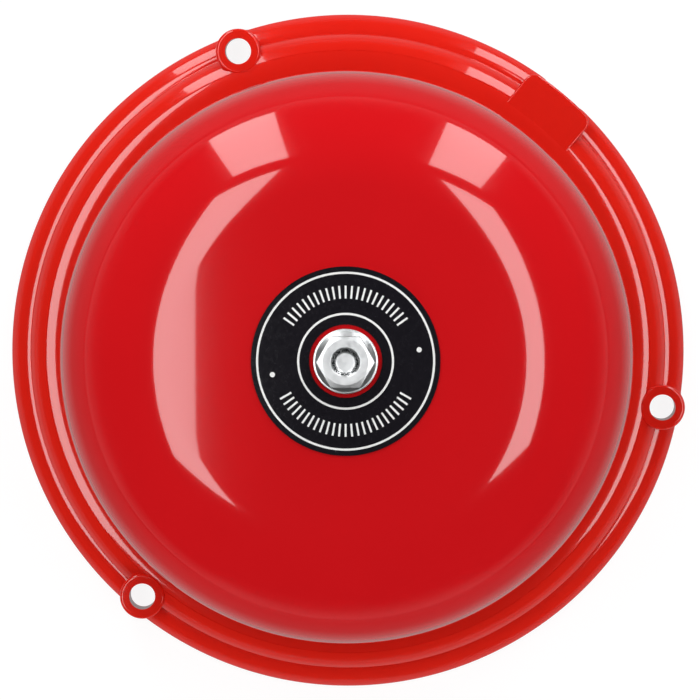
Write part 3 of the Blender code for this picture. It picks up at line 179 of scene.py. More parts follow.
# Flange bolt, post and nut
HEX_SPARE = 0.1 * MM
HEX_CORNER_ROUND = 0.15 * MM
BOLT_SEAT = GONG_SEAT + SEAT_GAP
BOLT_RADIUS = 2.5 * MM
BOLT_LENGTH = 14.0 * MM
BOLT_FLANGE_RADIUS = 5.6 * MM
BOLT_FLANGE_TOP = BOLT_SEAT + 1.2 * MM
BOLT_HEX_ACROSS = 8.7 * MM
BOLT_HEX_TURN = radians(40)
BOLT_TOP = BOLT_FLANGE_TOP + 4.0 * MM
BOLT_HEAD_SINK = 0.5 * MM
BOLT_CHAMFER = 0.34 * MM
BOLT_CHAMFER_RUN = 1.1 * MM
BOLT_DISH_RADIUS = 2.55 * MM
BOLT_DISH_FLOOR = 1.6 * MM
BOLT_DISH_DEPTH = 0.7 * MM
BOLT_CONE_RADIUS = 4.2 * MM
BOLT_LIP_RADIUS = 5.25 * MM
BOLT_LIP_DROP = 0.36 * MM
BOLT_LIP_FALL = 0.05 * MM
POST_RADIUS = 6.0 * MM
POST_CHAMFER = 0.8 * MM
POST_BORE_SPARE = 2.0 * MM
POST_FLANGE_RADIUS = 9.0 * MM
POST_FLANGE_THICKNESS = 2.5 * MM
POST_FLANGE_ROUND = 0.8 * MM
STUD_RADIUS = 3.0 * MM
THREAD_PITCH = 1.0 * MM
THREAD_DEPTH = 0.5 * MM
THREAD_START = 0.6 * MM
NUT_ACROSS = 10.0 * MM
NUT_CHAMFER = 0.55 * MM
NUT_SINK = 0.5 * MM

# Motor
CAN_RADIUS = 12.2 * MM
CAN_WALL = 0.8 * MM
CAN_NOSE_RADIUS = 3.6 * MM
CAN_NOSE_HEIGHT = 1.4 * MM
BUSH_HOLE_RADIUS = 2.6 * MM
STAKE_SIZE = (0.5 * MM, 2.4 * MM, 1.2 * MM)
STAKE_INSET = 0.75 * MM
CAP_RADIUS = 11.2 * MM
CAP_BORE_RADIUS = 2.4 * MM
CAP_SINK = 0.45 * MM
CAP_SINK_TOP = (10.0 * MM, 4.3 * MM)
CAP_SINK_FLOOR = (9.7 * MM, 4.6 * MM)
TAB_RADIUS = 8.0 * MM
TAB_SLOT_SIZE = (0.8 * MM, 2.2 * MM, 6.0 * MM)
MOTOR_SCREWS = ("motor_screw_1", "motor_screw_2")
MOTOR_SCREW_HOLE_RADIUS = 1.2 * MM
SCREW_SHANK_RADIUS = 1.0 * MM
SCREW_SLOT_WIDTH = 0.5 * MM
SCREW_SLOT_DEPTH = 0.6 * MM

# Terminal block
BLOCK_CORNER_ROUND = 0.8 * MM
BLOCK_EDGE_ROUND = 0.5 * MM
BLOCK_GROOVE_WIDTH = 1.0 * MM
BLOCK_GROOVE_DEPTH = 0.6 * MM
WELL_RADIUS = 1.7 * MM
FIXING_HOLE_RADIUS = 1.2 * MM
BARREL_HOLE_RADIUS = 2.3 * MM
BARREL_LEVEL = 16.5 * MM

# Leads: the route of the right one in millimetres, from its barrel round the nut to the motor's tab
LEAD_RADIUS = 0.65 * MM
LEAD_ROUTE = ((4.0, 25.0, 16.5), (4.0, 20.5, 16.5), (7.0, 14.0, 14.6),
              (11.5, 5.0, 12.8), (13.0, -5.0, 11.2), (14.8, -15.0, 8.0),
              (15.6, -22.0, 3.95), (13.2, -27.0, 2.75), (8.4, -28.0, 2.75))

# Suppressor
DISC_RADIUS = 3.0 * MM
DISC_ROUND = 0.7 * MM
LEG_RADIUS = 0.25 * MM
LEG_END_GAP = 0.4 * MM

# The picture's right and up lie at these angles in the plane of the wall
PICTURE_TURN = radians(40)
PICTURE_RIGHT = Vector((cos(PICTURE_TURN), sin(PICTURE_TURN), 0))
PICTURE_UP = Vector((-sin(PICTURE_TURN), cos(PICTURE_TURN), 0))


def in_picture(right, up, out):
    """A point given by its distances along the picture's right, its up and out of the wall."""
    return right * PICTURE_RIGHT + up * PICTURE_UP + out * UP


def linear(hex_colour):
    """Linear colour of an sRGB hex value."""
    values = [int(hex_colour[place:place + 2], 16) / 255 for place in (0, 2, 4)]
    return (*[value / 12.92 if value <= 0.04045 else ((value + 0.055) / 1.055) ** 2.4
              for value in values], 1.0)


def add(tree, kind, inputs=None, **settings):
    """Adds a node with its settings, input values and links; a node is linked by its first output."""
    made = tree.nodes.new(f"ShaderNode{kind}")
    for name, value in settings.items():
        setattr(made, name, value)
    for name, value in (inputs or {}).items():
        if isinstance(value, bpy.types.Node):
            value = value.outputs[0]
        if isinstance(value, bpy.types.NodeSocket):
            tree.links.new(value, made.inputs[name])
        else:
            made.inputs[name].default_value = value
    return made


def calc(tree, operation, *values):
    """A math node on numbers, nodes and outputs of nodes."""
    return add(tree, "Math", dict(enumerate(values)), operation=operation)


def noise(tree, spot, size_mm, detail=4.0):
    """A noise texture with a pattern of a size in millimetres."""
    return add(tree, "TexNoise", {"Vector": spot, "Scale": 1 / (size_mm * MM), "Detail": detail})


def surface(name, sockets):
    """A material with even values on its Principled shader, then its tree, shader and coordinates."""
    material = bpy.data.materials.new(name)
    material.use_nodes = True
    tree = material.node_tree
    shader = tree.nodes["Principled BSDF"]
    for socket, value in sockets.items():
        shader.inputs[socket].default_value = value
    spot = add(tree, "TexCoord").outputs["Object"]
    return material, tree, shader, spot


def dress(tree, shader, tone, grain, roughness, relief_mm):
    """Gives a shader its tone, and a roughness and a relief that follow a grain."""
    gloss = add(tree, "MapRange", {0: grain, 1: 0.3, 2: 0.7, 3: roughness[0], 4: roughness[1]})
    relief = add(tree, "Bump", {"Height": grain, "Distance": relief_mm * MM})
    tree.links.new(tone.outputs[2], shader.inputs["Base Color"])
    tree.links.new(gloss.outputs[0], shader.inputs["Roughness"])
    tree.links.new(relief.outputs[0], shader.inputs["Normal"])
    return relief


def grained(name, tones, roughness, grain_mm, relief_mm, patch_mm=12.0, stretch=(1, 1, 1), **sockets):
    """A finish with a slow drift between two tones, a fine relief and a roughness that follows it."""
    material, tree, shader, spot = surface(name, sockets)
    along = add(tree, "Mapping", {"Vector": spot, "Scale": stretch})
    patch = noise(tree, spot, patch_mm, detail=3.0)
    grain = noise(tree, along, grain_mm)
    tone = add(tree, "Mix", {0: patch, 6: linear(tones[0]), 7: linear(tones[1])}, data_type="RGBA")
    relief = dress(tree, shader, tone, grain, roughness, relief_mm)
    tree.links.new(relief.outputs[0], shader.inputs["Coat Normal"])
    return material


def printed_film():
    """Black film with two white rings, a dot at each side and dial ticks between them."""
    material, tree, shader, spot = surface("screen_printed_black_film", {"Specular IOR Level": 0.35})
    turned_up = add(tree, "Mapping", {"Vector": spot, "Rotation": (0, 0, -PICTURE_TURN - pi / 2),
                                      "Scale": (1, 1, 0)})
    radius = add(tree, "VectorMath", {0: turned_up}, operation="LENGTH").outputs["Value"]
    side = add(tree, "SeparateXYZ", {0: turned_up})
    angle = calc(tree, "ARCTAN2", side.outputs["Y"], side.outputs["X"])
    swing = calc(tree, "ABSOLUTE", angle)
    marks = [calc(tree, "COMPARE", radius, ring, RING_WIDTH / 2) for ring in RING_RADII]
    for dot in DOT_ANGLES:
        centre = (DOT_CIRCLE * cos(dot), DOT_CIRCLE * sin(dot), 0)
        away = add(tree, "VectorMath", {0: turned_up, 1: centre}, operation="DISTANCE")
        marks.append(calc(tree, "LESS_THAN", away.outputs["Value"], DOT_RADIUS))
    nearest = calc(tree, "PINGPONG", swing, TICK_SPACING / 2)
    aside = calc(tree, "MULTIPLY", nearest, radius)
    tick = calc(tree, "LESS_THAN", aside, TICK_WIDTH / 2)
    band = calc(tree, "COMPARE", radius, TICK_CIRCLE, TICK_LENGTH / 2)
    upper = calc(tree, "LESS_THAN", swing, TICK_UPPER_END)
    lower = calc(tree, "GREATER_THAN", swing, TICK_LOWER_START)
    arcs = calc(tree, "MAXIMUM", upper, lower)
    tick = calc(tree, "MULTIPLY", tick, band)
    marks.append(calc(tree, "MULTIPLY", tick, arcs))
    ink = marks[0]
    for mark in marks[1:]:
        ink = calc(tree, "MAXIMUM", ink, mark)
    grain = noise(tree, spot, size_mm=0.6)
    film = add(tree, "Mix", {0: grain, 6: linear("131116"), 7: linear("1B191E")}, data_type="RGBA")
    tone = add(tree, "Mix", {0: ink, 6: film.outputs[2], 7: linear("EEEEEC")}, data_type="RGBA")
    dress(tree, shader, tone, grain, (0.12, 0.18), relief_mm=0.002)
    return material


def forged_head():
    """Zinc plate with painted shade, dark and broken into patches, on the wall of the dish in the bolt's
    head.
    """
    material, tree, shader, spot = surface("forged_zinc_plate", {"Metallic": 1.0})
    flat = add(tree, "Mapping", {"Vector": spot, "Scale": (1, 1, 0)})
    radius = add(tree, "VectorMath", {0: flat}, operation="LENGTH").outputs["Value"]
    wall = (BOLT_DISH_FLOOR + BOLT_DISH_RADIUS) / 2
    half = (BOLT_DISH_RADIUS - BOLT_DISH_FLOOR) / 2
    aside = calc(tree, "SUBTRACT", radius, wall)
    aside = calc(tree, "ABSOLUTE", aside)
    on_wall = add(tree, "MapRange", {0: aside, 1: 0.4 * half, 2: 1.3 * half, 3: 1.0, 4: 0.0})
    # Painted shade: dark patches on the wall of the dish, where it lies in shade
    dish_shade_noise = noise(tree, spot, size_mm=0.24, detail=3.0)
    dish_shade = calc(tree, "MULTIPLY", dish_shade_noise, on_wall)
    dark = add(tree, "MapRange", {0: dish_shade, 1: 0.43, 2: 0.52, 3: 0.0, 4: 1.0})
    cloud = noise(tree, spot, size_mm=0.8)
    plate = add(tree, "Mix", {0: cloud, 6: linear("DDE0E2"), 7: linear("F0F1F1")}, data_type="RGBA")
    tone = add(tree, "Mix", {0: dark, 6: plate.outputs[2], 7: linear("3A3D40")}, data_type="RGBA")
    dress(tree, shader, tone, cloud, (0.34, 0.46), relief_mm=0.006)
    return material


# The grain of metal, ferrite, fibre and plastic is finer than a picture shows, so it is drawn as coarse
# as it needs to show.

# The hard clear skin of both reds, over a body that hardly shines by itself
CLEAR_GLOSS = {"Coat Weight": 1.0, "Coat Roughness": 0.03, "Specular IOR Level": 0.2}

# Gloss enamel, sprayed on the pressed steel and baked: an even deep red under a hard clear gloss,
# whose faint orange peel makes the edges of reflections ragged.
ENAMEL = grained("baked_gloss_enamel", ("C61016", "CE1319"), (0.10, 0.14), grain_mm=0.8,
                 relief_mm=0.0004, patch_mm=25.0, **CLEAR_GLOSS)
# ABS, moulded in a polished tool: a warmer red than the enamel, with the tool's gloss and flow marks.
ABS = grained("moulded_red_abs", ("D61D12", "DE2215"), (0.12, 0.18), grain_mm=1.6, relief_mm=0.0006,
              patch_mm=18.0, **CLEAR_GLOSS)
# Vinyl film, screen printed: smooth deep black, with crisp white rings and marks.
FILM = printed_film()
# Bright zinc plate on cold headed steel: pale cool grey with a fine cloudy grain.
ZINC = grained("bright_zinc_plate", ("DDE0E2", "F0F1F1"), (0.40, 0.52), grain_mm=0.5,
               relief_mm=0.002, patch_mm=1.5, Metallic=1.0)
# The same plate on the forged head of the bolt: brighter edges, and painted shade in dark patches on the
# wall of its dish.
FORGED_ZINC = forged_head()
# Free cutting steel, bright turned: a darker grey with tool lines round it.
STEEL = grained("bright_turned_steel", ("97989B", "A9AAAD"), (0.2, 0.34), grain_mm=0.35,
                relief_mm=0.004, patch_mm=6.0, stretch=(0.2, 0.2, 1.0), Metallic=1.0)
# Deep drawn strip steel, nickel flashed: soft grey with long draw marks down its wall.
DRAWN_STEEL = grained("nickel_flashed_drawn_steel", ("A7A59F", "B8B6B0"), (0.24, 0.38),
                      grain_mm=0.5, relief_mm=0.004, stretch=(1.0, 1.0, 0.12), Metallic=1.0)
# Brass, drawn and stamped: warm yellow, a little dulled by handling.
BRASS = grained("stamped_brass", ("C2A35A", "D0B26B"), (0.22, 0.36), grain_mm=0.4, relief_mm=0.003,
                patch_mm=4.0, Metallic=1.0)
# Sintered bronze: brown and porous, with the oil it is soaked in.
BRONZE = grained("oiled_sintered_bronze", ("8C6A45", "A17E56"), (0.4, 0.6), grain_mm=0.15,
                 relief_mm=0.01, patch_mm=1.0, Metallic=1.0)
# Enamelled copper: a reddish metal under a clear amber coat.
COPPER = grained("enamelled_copper", ("B0623A", "C4744A"), (0.2, 0.35), grain_mm=0.25,
                 relief_mm=0.01, patch_mm=2.0, stretch=(1.0, 1.0, 0.3), Metallic=1.0)
# Sintered ferrite: charcoal, dull and slightly gritty.
FERRITE = grained("sintered_ferrite", ("26262A", "313135"), (0.55, 0.7), grain_mm=0.2,
                  relief_mm=0.01, patch_mm=5.0)
# Vulcanised fibre: red brown board with a dull, slightly hairy face.
FIBRE = grained("vulcanised_fibre", ("6A3A2A", "7B4836"), (0.65, 0.8), grain_mm=0.3, relief_mm=0.01,
                patch_mm=3.0)
# Phenolic moulding: brown black, with a fine eggshell gloss.
PHENOLIC = grained("moulded_black_phenolic", ("141312", "1E1C1B"), (0.32, 0.46), grain_mm=0.4,
                   relief_mm=0.006, patch_mm=6.0)
# Acetal in its natural colour: milky white and slippery, a little light shining into it.
ACETAL = grained("natural_acetal", ("E4E2D8", "EDEBE2"), (0.3, 0.42), grain_mm=0.8, relief_mm=0.004,
                 **{"Subsurface Weight": 0.1, "Subsurface Radius": (0.001, 0.001, 0.001)})
# Polyamide, natural: cream white, satin, faintly mottled by the tool.
POLYAMIDE = grained("moulded_polyamide", ("DCD9CC", "E8E5DA"), (0.34, 0.46), grain_mm=0.7,
                    relief_mm=0.006, patch_mm=5.0)
# Soft wire sleeves: even colour, a waxy gloss and slight lumps from the strands inside.
RED_SLEEVE = grained("red_wire_sleeve", ("B3141A", "C01A1F"), (0.36, 0.48), grain_mm=1.2,
                     relief_mm=0.02, patch_mm=6.0)
BLACK_SLEEVE = grained("black_wire_sleeve", ("111112", "1B1B1C"), (0.36, 0.48), grain_mm=1.2,
                       relief_mm=0.02, patch_mm=6.0)
# Dipped ceramic disc: ochre resin, glossy, with a slightly wavy skin.
DIPPED_CERAMIC = grained("dipped_ceramic", ("B5772F", "C4863C"), (0.22, 0.34), grain_mm=1.0,
                         relief_mm=0.02, patch_mm=3.0)
# Tinned copper wire: a soft white metal.
TINNED_WIRE = grained("tinned_copper_wire", ("B9BABB", "CACBCC"), (0.25, 0.38), grain_mm=0.3,
                      relief_mm=0.004, patch_mm=2.0, Metallic=1.0)


def rounded(shape, corner, setback):
    """Rounds a corner of an outline from a distance before it to the same distance after it."""
    bmesh.ops.bevel(shape, geom=[corner], offset=setback, offset_type="ABSOLUTE", segments=FILLET_STEPS,
                    profile=0.5, affect="VERTICES", material=-1)


def wire(shape, corners, closed=False):
    """An outline in the XZ plane through corners given as (radius, level, fillet)."""
    points = [shape.verts.new((radius, 0, level)) for radius, level, _ in corners]
    loop = points + points[:1] if closed else points
    for start, end in zip(loop, loop[1:]):
        shape.edges.new((start, end))
    for index, (_, _, fillet) in enumerate(corners):
        if fillet:
            here = Vector(corners[index][:2])
            back = Vector(corners[index - 1][:2]) - here
            ahead = Vector(corners[(index + 1) % len(corners)][:2]) - here
            rounded(shape, points[index], fillet / tan(back.angle(ahead) / 2))


def closed_up(shape):
    """Merges the seams and poles of a shape and turns its faces outwards."""
    bmesh.ops.remove_doubles(shape, verts=shape.verts, dist=MERGE)
    bmesh.ops.recalc_face_normals(shape, faces=shape.faces)
    return shape


def turn(shape, steps):
    """Spins an outline about Z and closes its seam and poles."""
    bmesh.ops.spin(shape, geom=shape.verts[:] + shape.edges[:], cent=(0, 0, 0), axis=(0, 0, 1),
                   angle=2 * pi, steps=steps, use_merge=True)
    return closed_up(shape)


def turned(corners, steps=SMALL_STEPS, closed=False):
    """A shape turned from an outline of (radius, level, fillet) corners."""
    shape = bmesh.new()
    wire(shape, corners, closed)
    return turn(shape, steps)


def onward(shape, last, radius, level):
    """Carries an outline on in a straight line and gives its new end."""
    end = shape.verts.new((radius, 0, level))
    shape.edges.new((last, end))
    return end


def swung(shape, last, centre, axis, angle, steps):
    """Carries an outline on along an arc and gives its new end."""
    made = bmesh.ops.spin(shape, geom=[last], cent=centre, axis=axis, angle=angle, steps=steps,
                          use_merge=False)
    return next(item for item in made["geom_last"] if isinstance(item, bmesh.types.BMVert))


def raised(shape, bottom, top):
    """Fills an outline drawn at z = 0 and raises it to a slab between two levels."""
    face = bmesh.ops.contextual_create(shape, geom=shape.edges[:])["faces"]
    upper = bmesh.ops.extrude_face_region(shape, geom=face)["geom"]
    bmesh.ops.translate(shape, vec=(0, 0, bottom), verts=shape.verts)
    bmesh.ops.translate(shape, vec=(0, 0, top - bottom),
                        verts=[item for item in upper if isinstance(item, bmesh.types.BMVert)])
    bmesh.ops.recalc_face_normals(shape, faces=shape.faces)
    return shape


def peg(radius, bottom, top, steps=SMALL_STEPS):
    """An upright round tool."""
    shape = bmesh.new()
    bmesh.ops.create_cone(shape, cap_ends=True, segments=steps, radius1=radius, radius2=radius,
                          depth=top - bottom, matrix=Matrix.Translation((0, 0, (top + bottom) / 2)))
    return shape


def block(size, centre):
    """A square tool."""
    shape = bmesh.new()
    bmesh.ops.create_cube(shape, size=1, matrix=Matrix.Translation(centre) @ Matrix.Diagonal((*size, 1)))
    return shape


def at(shape, place, angle=0.0):
    """Turns a shape about Z and moves it to a place."""
    bmesh.ops.transform(shape, matrix=Matrix.Translation(place) @ Matrix.Rotation(angle, 4, "Z"),
                        verts=shape.verts)
    return shape


def laid(shape, axis):
    """Lays an upright shape down by a quarter turn about X or Y."""
    bmesh.ops.rotate(shape, cent=(0, 0, 0), matrix=Matrix.Rotation(pi / 2, 3, axis), verts=shape.verts)
    return shape


def round_about(radius, angle):
    """A place at a radius and an angle about the gong's axis."""
    return Vector((radius * cos(angle), radius * sin(angle), 0))


def middle(node):
    """The middle of a CAD node, seen along Z."""
    low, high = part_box(node)
    return Vector(((low[0] + high[0]) / 2, (low[1] + high[1]) / 2, 0))


def levels(node):
    """The lowest and the highest level of a CAD node."""
    low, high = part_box(node)
    return low[2], high[2]


def placed(name, data):
    """A mesh, curve, lamp or camera as an object of the scene."""
    obj = bpy.data.objects.new(name, data)
    bpy.context.scene.collection.objects.link(obj)
    return obj


def blank(name, shape):
    """A shape as an object of the scene."""
    mesh = bpy.data.meshes.new(name)
    shape.to_mesh(mesh)
    shape.free()
    return placed(name, mesh)


def carved(shape, joined=(), cut=()):
    """A shape with others joined to it and cut from it."""
    body = blank("blank", shape)
    tools = [("UNION", blank(f"joined_{number}", other)) for number, other in enumerate(joined)]
    tools += [("DIFFERENCE", blank(f"cut_{number}", other)) for number, other in enumerate(cut)]
    for operation, other in tools:
        step = body.modifiers.new(other.name, "BOOLEAN")
        step.operation = operation
        step.solver = "EXACT"
        step.object = other
    result = bmesh.new()
    result.from_object(body, bpy.context.evaluated_depsgraph_get())
    for obj in [body] + [other for _, other in tools]:
        bpy.data.objects.remove(obj, do_unlink=True)
    return result


def show(name, shape, material, slot, *nodes, body="housing"):
    """Makes a piece of a shape: it stands for CAD nodes and rides their body. Its slot argument is not
    used.
    """
    obj = blank(name, shape)
    obj.data.materials.append(material)
    obj.data.shade_smooth()
    obj.data.set_sharp_from_angle(angle=SMOOTH_LIMIT)
    weighted = obj.modifiers.new("flat_faces_stay_flat", "WEIGHTED_NORMAL")
    weighted.keep_sharp = True
    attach(obj, body)
    if nodes:
        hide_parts(*nodes)


def soften(shape, edges, size, steps=3):
    """Rounds edges of a shape."""
    bmesh.ops.bevel(shape, geom=edges, offset=size, segments=steps, profile=0.5, affect="EDGES",
                    material=-1)


def sharp_edges(shape, level=None):
    """The edges of a shape that turn sharply, all of them or only those at a level."""
    return [edge for edge in shape.edges if edge.calc_face_angle(0) > SHARP_LIMIT
            and (level is None or all(abs(vert.co.z - level) < MERGE for vert in edge.verts))]


def pressed_gong():
    """Dome of sheet steel: skirt, shoulder, haunch, wide crown and flat seat, with a rounded rim."""
    shape = bmesh.new()
    seat_slope = asin(GONG_SEAT_RADIUS / CROWN_RADIUS)
    end = shape.verts.new((GONG_RADIUS, 0, GONG_RIM))
    end = onward(shape, end, GONG_RADIUS, SHOULDER_LEVEL)
    for centre, level, angle, steps in (
            (SHOULDER_CENTRE, SHOULDER_LEVEL, pi / 2 - SHOULDER_SLOPE, SHOULDER_STEPS),
            (HAUNCH_CENTRE, HAUNCH_LEVEL, SHOULDER_SLOPE - HAUNCH_SLOPE, HAUNCH_STEPS),
            (0, CROWN_LEVEL, HAUNCH_SLOPE - seat_slope, CROWN_STEPS)):
        end = swung(shape, end, (centre, 0, level), INWARDS, angle, steps)
    onward(shape, end, GONG_HOLE_RADIUS, GONG_SEAT)
    turn(shape, GONG_STEPS)
    bmesh.ops.solidify(shape, geom=shape.faces[:], thickness=GONG_WALL)
    soften(shape, sharp_edges(shape), GONG_EDGE_ROUND)
    return shape


def hex_corner(across):
    """Radius of the corners of a hexagon."""
    return across / (2 * cos(pi / 6))


def six_flats(shape, across, turned_by):
    """Cuts six flats on a turned blank and softens the corners between them."""
    for side in range(6):
        facing = Matrix.Rotation(turned_by + pi / 6 + side * pi / 3, 3, "Z") @ Vector((1, 0, 0))
        cut = bmesh.ops.bisect_plane(shape, geom=shape.verts[:] + shape.edges[:] + shape.faces[:],
                                     plane_co=facing * across / 2, plane_no=facing, clear_outer=True)
        bmesh.ops.contextual_create(shape, geom=[item for item in cut["geom_cut"]
                                                 if isinstance(item, bmesh.types.BMEdge)])
    corners = [edge for edge in shape.edges if edge.calc_face_angle(0) > HEX_CORNER_LIMIT
               and abs(edge.verts[0].co.z - edge.verts[1].co.z) > MM]
    soften(shape, corners, HEX_CORNER_ROUND)
    return shape


def flange_bolt():
    """Hexagon bolt with a coned flange and its flat lip, a turned chamfer and a dish in its head."""
    corner = hex_corner(BOLT_HEX_ACROSS)
    sunk = BOLT_SEAT + BOLT_HEAD_SINK
    dish = BOLT_TOP - BOLT_DISH_DEPTH
    cone_top = BOLT_FLANGE_TOP + BOLT_LIP_DROP
    lip = BOLT_FLANGE_TOP - BOLT_LIP_DROP
    head = turned([
        (0, dish, 0),
        (BOLT_DISH_FLOOR, dish, 0.5 * MM),
        (BOLT_DISH_RADIUS, BOLT_TOP, 0.2 * MM),
        (corner - BOLT_CHAMFER_RUN, BOLT_TOP, 0.2 * MM),
        (corner + HEX_SPARE, BOLT_TOP - BOLT_CHAMFER, 0),
        (corner + HEX_SPARE, sunk, 0),
        (0, sunk, 0),
    ], HEX_STEPS)
    six_flats(head, BOLT_HEX_ACROSS, BOLT_HEX_TURN)
    flange = turned([
        (0, cone_top, 0),
        (BOLT_CONE_RADIUS, cone_top, 0),
        (BOLT_LIP_RADIUS, lip, 0.15 * MM),
        (BOLT_FLANGE_RADIUS, lip - BOLT_LIP_FALL, 0.12 * MM),
        (BOLT_FLANGE_RADIUS, BOLT_SEAT, 0.1 * MM),
        (BOLT_RADIUS, BOLT_SEAT, 0),
        (BOLT_RADIUS, BOLT_SEAT - BOLT_LENGTH, 0.3 * MM),
        (0, BOLT_SEAT - BOLT_LENGTH, 0),
    ], HEX_STEPS)
    return carved(flange, joined=[head])


def crown_label():
    """Thin film ring that follows the crown."""
    shape = bmesh.new()
    low = CROWN_RADIUS + LABEL_GAP
    high = low + LABEL_THICKNESS
    inner = asin(LABEL_INNER_RADIUS / high)
    outer = asin(LABEL_OUTER_RADIUS / high)
    centre = (0, 0, CROWN_LEVEL)
    start = shape.verts.new((high * sin(outer), 0, CROWN_LEVEL + high * cos(outer)))
    end = swung(shape, start, centre, INWARDS, outer - inner, LABEL_STEPS)
    end = onward(shape, end, low * sin(inner), CROWN_LEVEL + low * cos(inner))
    end = swung(shape, end, centre, INWARDS, inner - outer, LABEL_STEPS)
    shape.edges.new((end, start))
    return turn(shape, GONG_STEPS)


def step_face(shape, last, start, end, level, start_slope):
    """Carries an outline on to a step and round its face, which falls away to the outer edge."""
    radius = (end - start) / (sin(FACE_END_SLOPE) - sin(start_slope))
    centre = (start - radius * sin(start_slope), 0, level - radius * cos(start_slope))
    foot = onward(shape, last, start, level)
    return foot, swung(shape, foot, centre, OUTWARDS, FACE_END_SLOPE - start_slope, STEP_FACE_STEPS)


def base_drum():
    """The drum of the base with its flange of two rounded steps, turned in one piece."""
    shape = bmesh.new()
    start = shape.verts.new((STUD_HOLE_RADIUS, 0, DECK_TOP))
    drum_edge = onward(shape, start, DRUM_RADIUS, DECK_TOP)
    drum_foot = onward(shape, drum_edge, DRUM_RADIUS, FLANGE_TOP)
    flat_end = FLANGE_EDGE_RADIUS - FLANGE_ROUND * sin(FLANGE_EDGE_SLOPE)
    end = onward(shape, drum_foot, flat_end, FLANGE_TOP)
    end = swung(shape, end, (flat_end, 0, FLANGE_TOP - FLANGE_ROUND), OUTWARDS, FLANGE_EDGE_SLOPE,
                FLANGE_STEPS)
    end = onward(shape, end, STEP_FACE_RADIUS - GROOVE_WIDTH / 2, STEP_TOP - GROOVE_DEPTH)
    _, step_edge = step_face(shape, end, STEP_FACE_RADIUS, STEP_EDGE_RADIUS, STEP_TOP,
                             STEP_START_SLOPE)
    step_foot, rim = step_face(shape, step_edge, RIM_FACE_RADIUS, BASE_RADIUS, RIM_HEIGHT,
                               RIM_START_SLOPE)
    end = onward(shape, rim, BASE_RADIUS, WALL_SIDE)
    for radius, level in ((STEP_EDGE_RADIUS - BASE_WALL, WALL_SIDE),
                          (STEP_EDGE_RADIUS - BASE_WALL, STEP_TOP - BASE_WALL),
                          (DRUM_RADIUS - BASE_WALL, STEP_TOP - BASE_WALL)):
        end = onward(shape, end, radius, level)
    drum_corner = onward(shape, end, DRUM_RADIUS - BASE_WALL, DECK_UNDERSIDE)
    end = onward(shape, drum_corner, STUD_HOLE_RADIUS, DECK_UNDERSIDE)
    shape.edges.new((end, start))
    for corner, setback in ((drum_edge, DRUM_EDGE_ROUND), (drum_foot, DRUM_FOOT_ROUND),
                            (step_edge, STEP_EDGE_ROUND), (step_foot, STEP_FOOT_ROUND),
                            (rim, STEP_EDGE_ROUND), (drum_corner, DRUM_CORNER_ROUND)):
        rounded(shape, corner, setback)
    return turn(shape, BASE_STEPS)


def hood_plan(half_width, inner, outer, corner):
    """Plan of the hood: straight sides, a round outer end and rounded outer corners."""
    shape = bmesh.new()
    end_angle = asin(half_width / outer)
    right = shape.verts.new((half_width, outer * cos(end_angle), 0))
    left = swung(shape, right, (0, 0, 0), UP, 2 * end_angle, HOOD_STEPS)
    inner_right = shape.verts.new((half_width, inner, 0))
    inner_left = shape.verts.new((-half_width, inner, 0))
    for ends in ((right, inner_right), (inner_right, inner_left), (inner_left, left)):
        shape.edges.new(ends)
    if corner:
        rounded(shape, right, corner)
        rounded(shape, left, corner)
    return shape


def cable_hood():
    """Hood over the cable, with soft top edges."""
    plan = hood_plan(HOOD_WIDTH / 2, HOOD_INNER, HOOD_RADIUS, HOOD_CORNER)
    shape = raised(plan, 3 * WALL_SIDE, HOOD_TOP)
    soften(shape, sharp_edges(shape, HOOD_TOP), HOOD_EDGE_ROUND, 4)
    return shape


def lug_blend(side):
    """Hollow corner between the round of a lug on the X axis and the round of the rim."""
    outer = BASE_RADIUS + LUG_BLEND_RADIUS
    inner = LUG_RADIUS + LUG_BLEND_RADIUS
    along = (outer ** 2 + LUG_PITCH_RADIUS ** 2 - inner ** 2) / (2 * LUG_PITCH_RADIUS)
    centre = Vector((along, side * sqrt(outer ** 2 - along ** 2), 0))
    lug = Vector((LUG_PITCH_RADIUS, 0, 0))
    on_rim = centre * (BASE_RADIUS / outer)
    on_lug = lug + (centre - lug) * (LUG_RADIUS / inner)
    shape = bmesh.new()
    first = shape.verts.new(on_rim)
    sweep = (on_rim - centre).angle(on_lug - centre)
    last = swung(shape, first, centre, side * UP, sweep, BLEND_STEPS)
    inside = shape.verts.new(lug + Vector((LUG_BLEND_INSIDE[0], side * LUG_BLEND_INSIDE[1], 0)))
    shape.edges.new((last, inside))
    shape.edges.new((inside, first))
    return raised(shape, 4 * WALL_SIDE, LUG_BLEND_TOP)


def cable_slot():
    """Arched mouth in the outer end of the hood: a round tool and a slightly smaller square one."""
    half = CABLE_SLOT_WIDTH / 2
    spring = CABLE_SLOT_HEIGHT - half
    below = 5 * WALL_SIDE
    arch = laid(peg(half, -CABLE_SLOT_REACH, CABLE_SLOT_REACH), "X")
    mouth = block((CABLE_SLOT_WIDTH - 0.01 * MM, 2 * CABLE_SLOT_REACH - 0.2 * MM, spring - below),
                  (0, HOOD_RADIUS, (spring + below) / 2))
    return at(arch, (0, HOOD_RADIUS, spring)), mouth


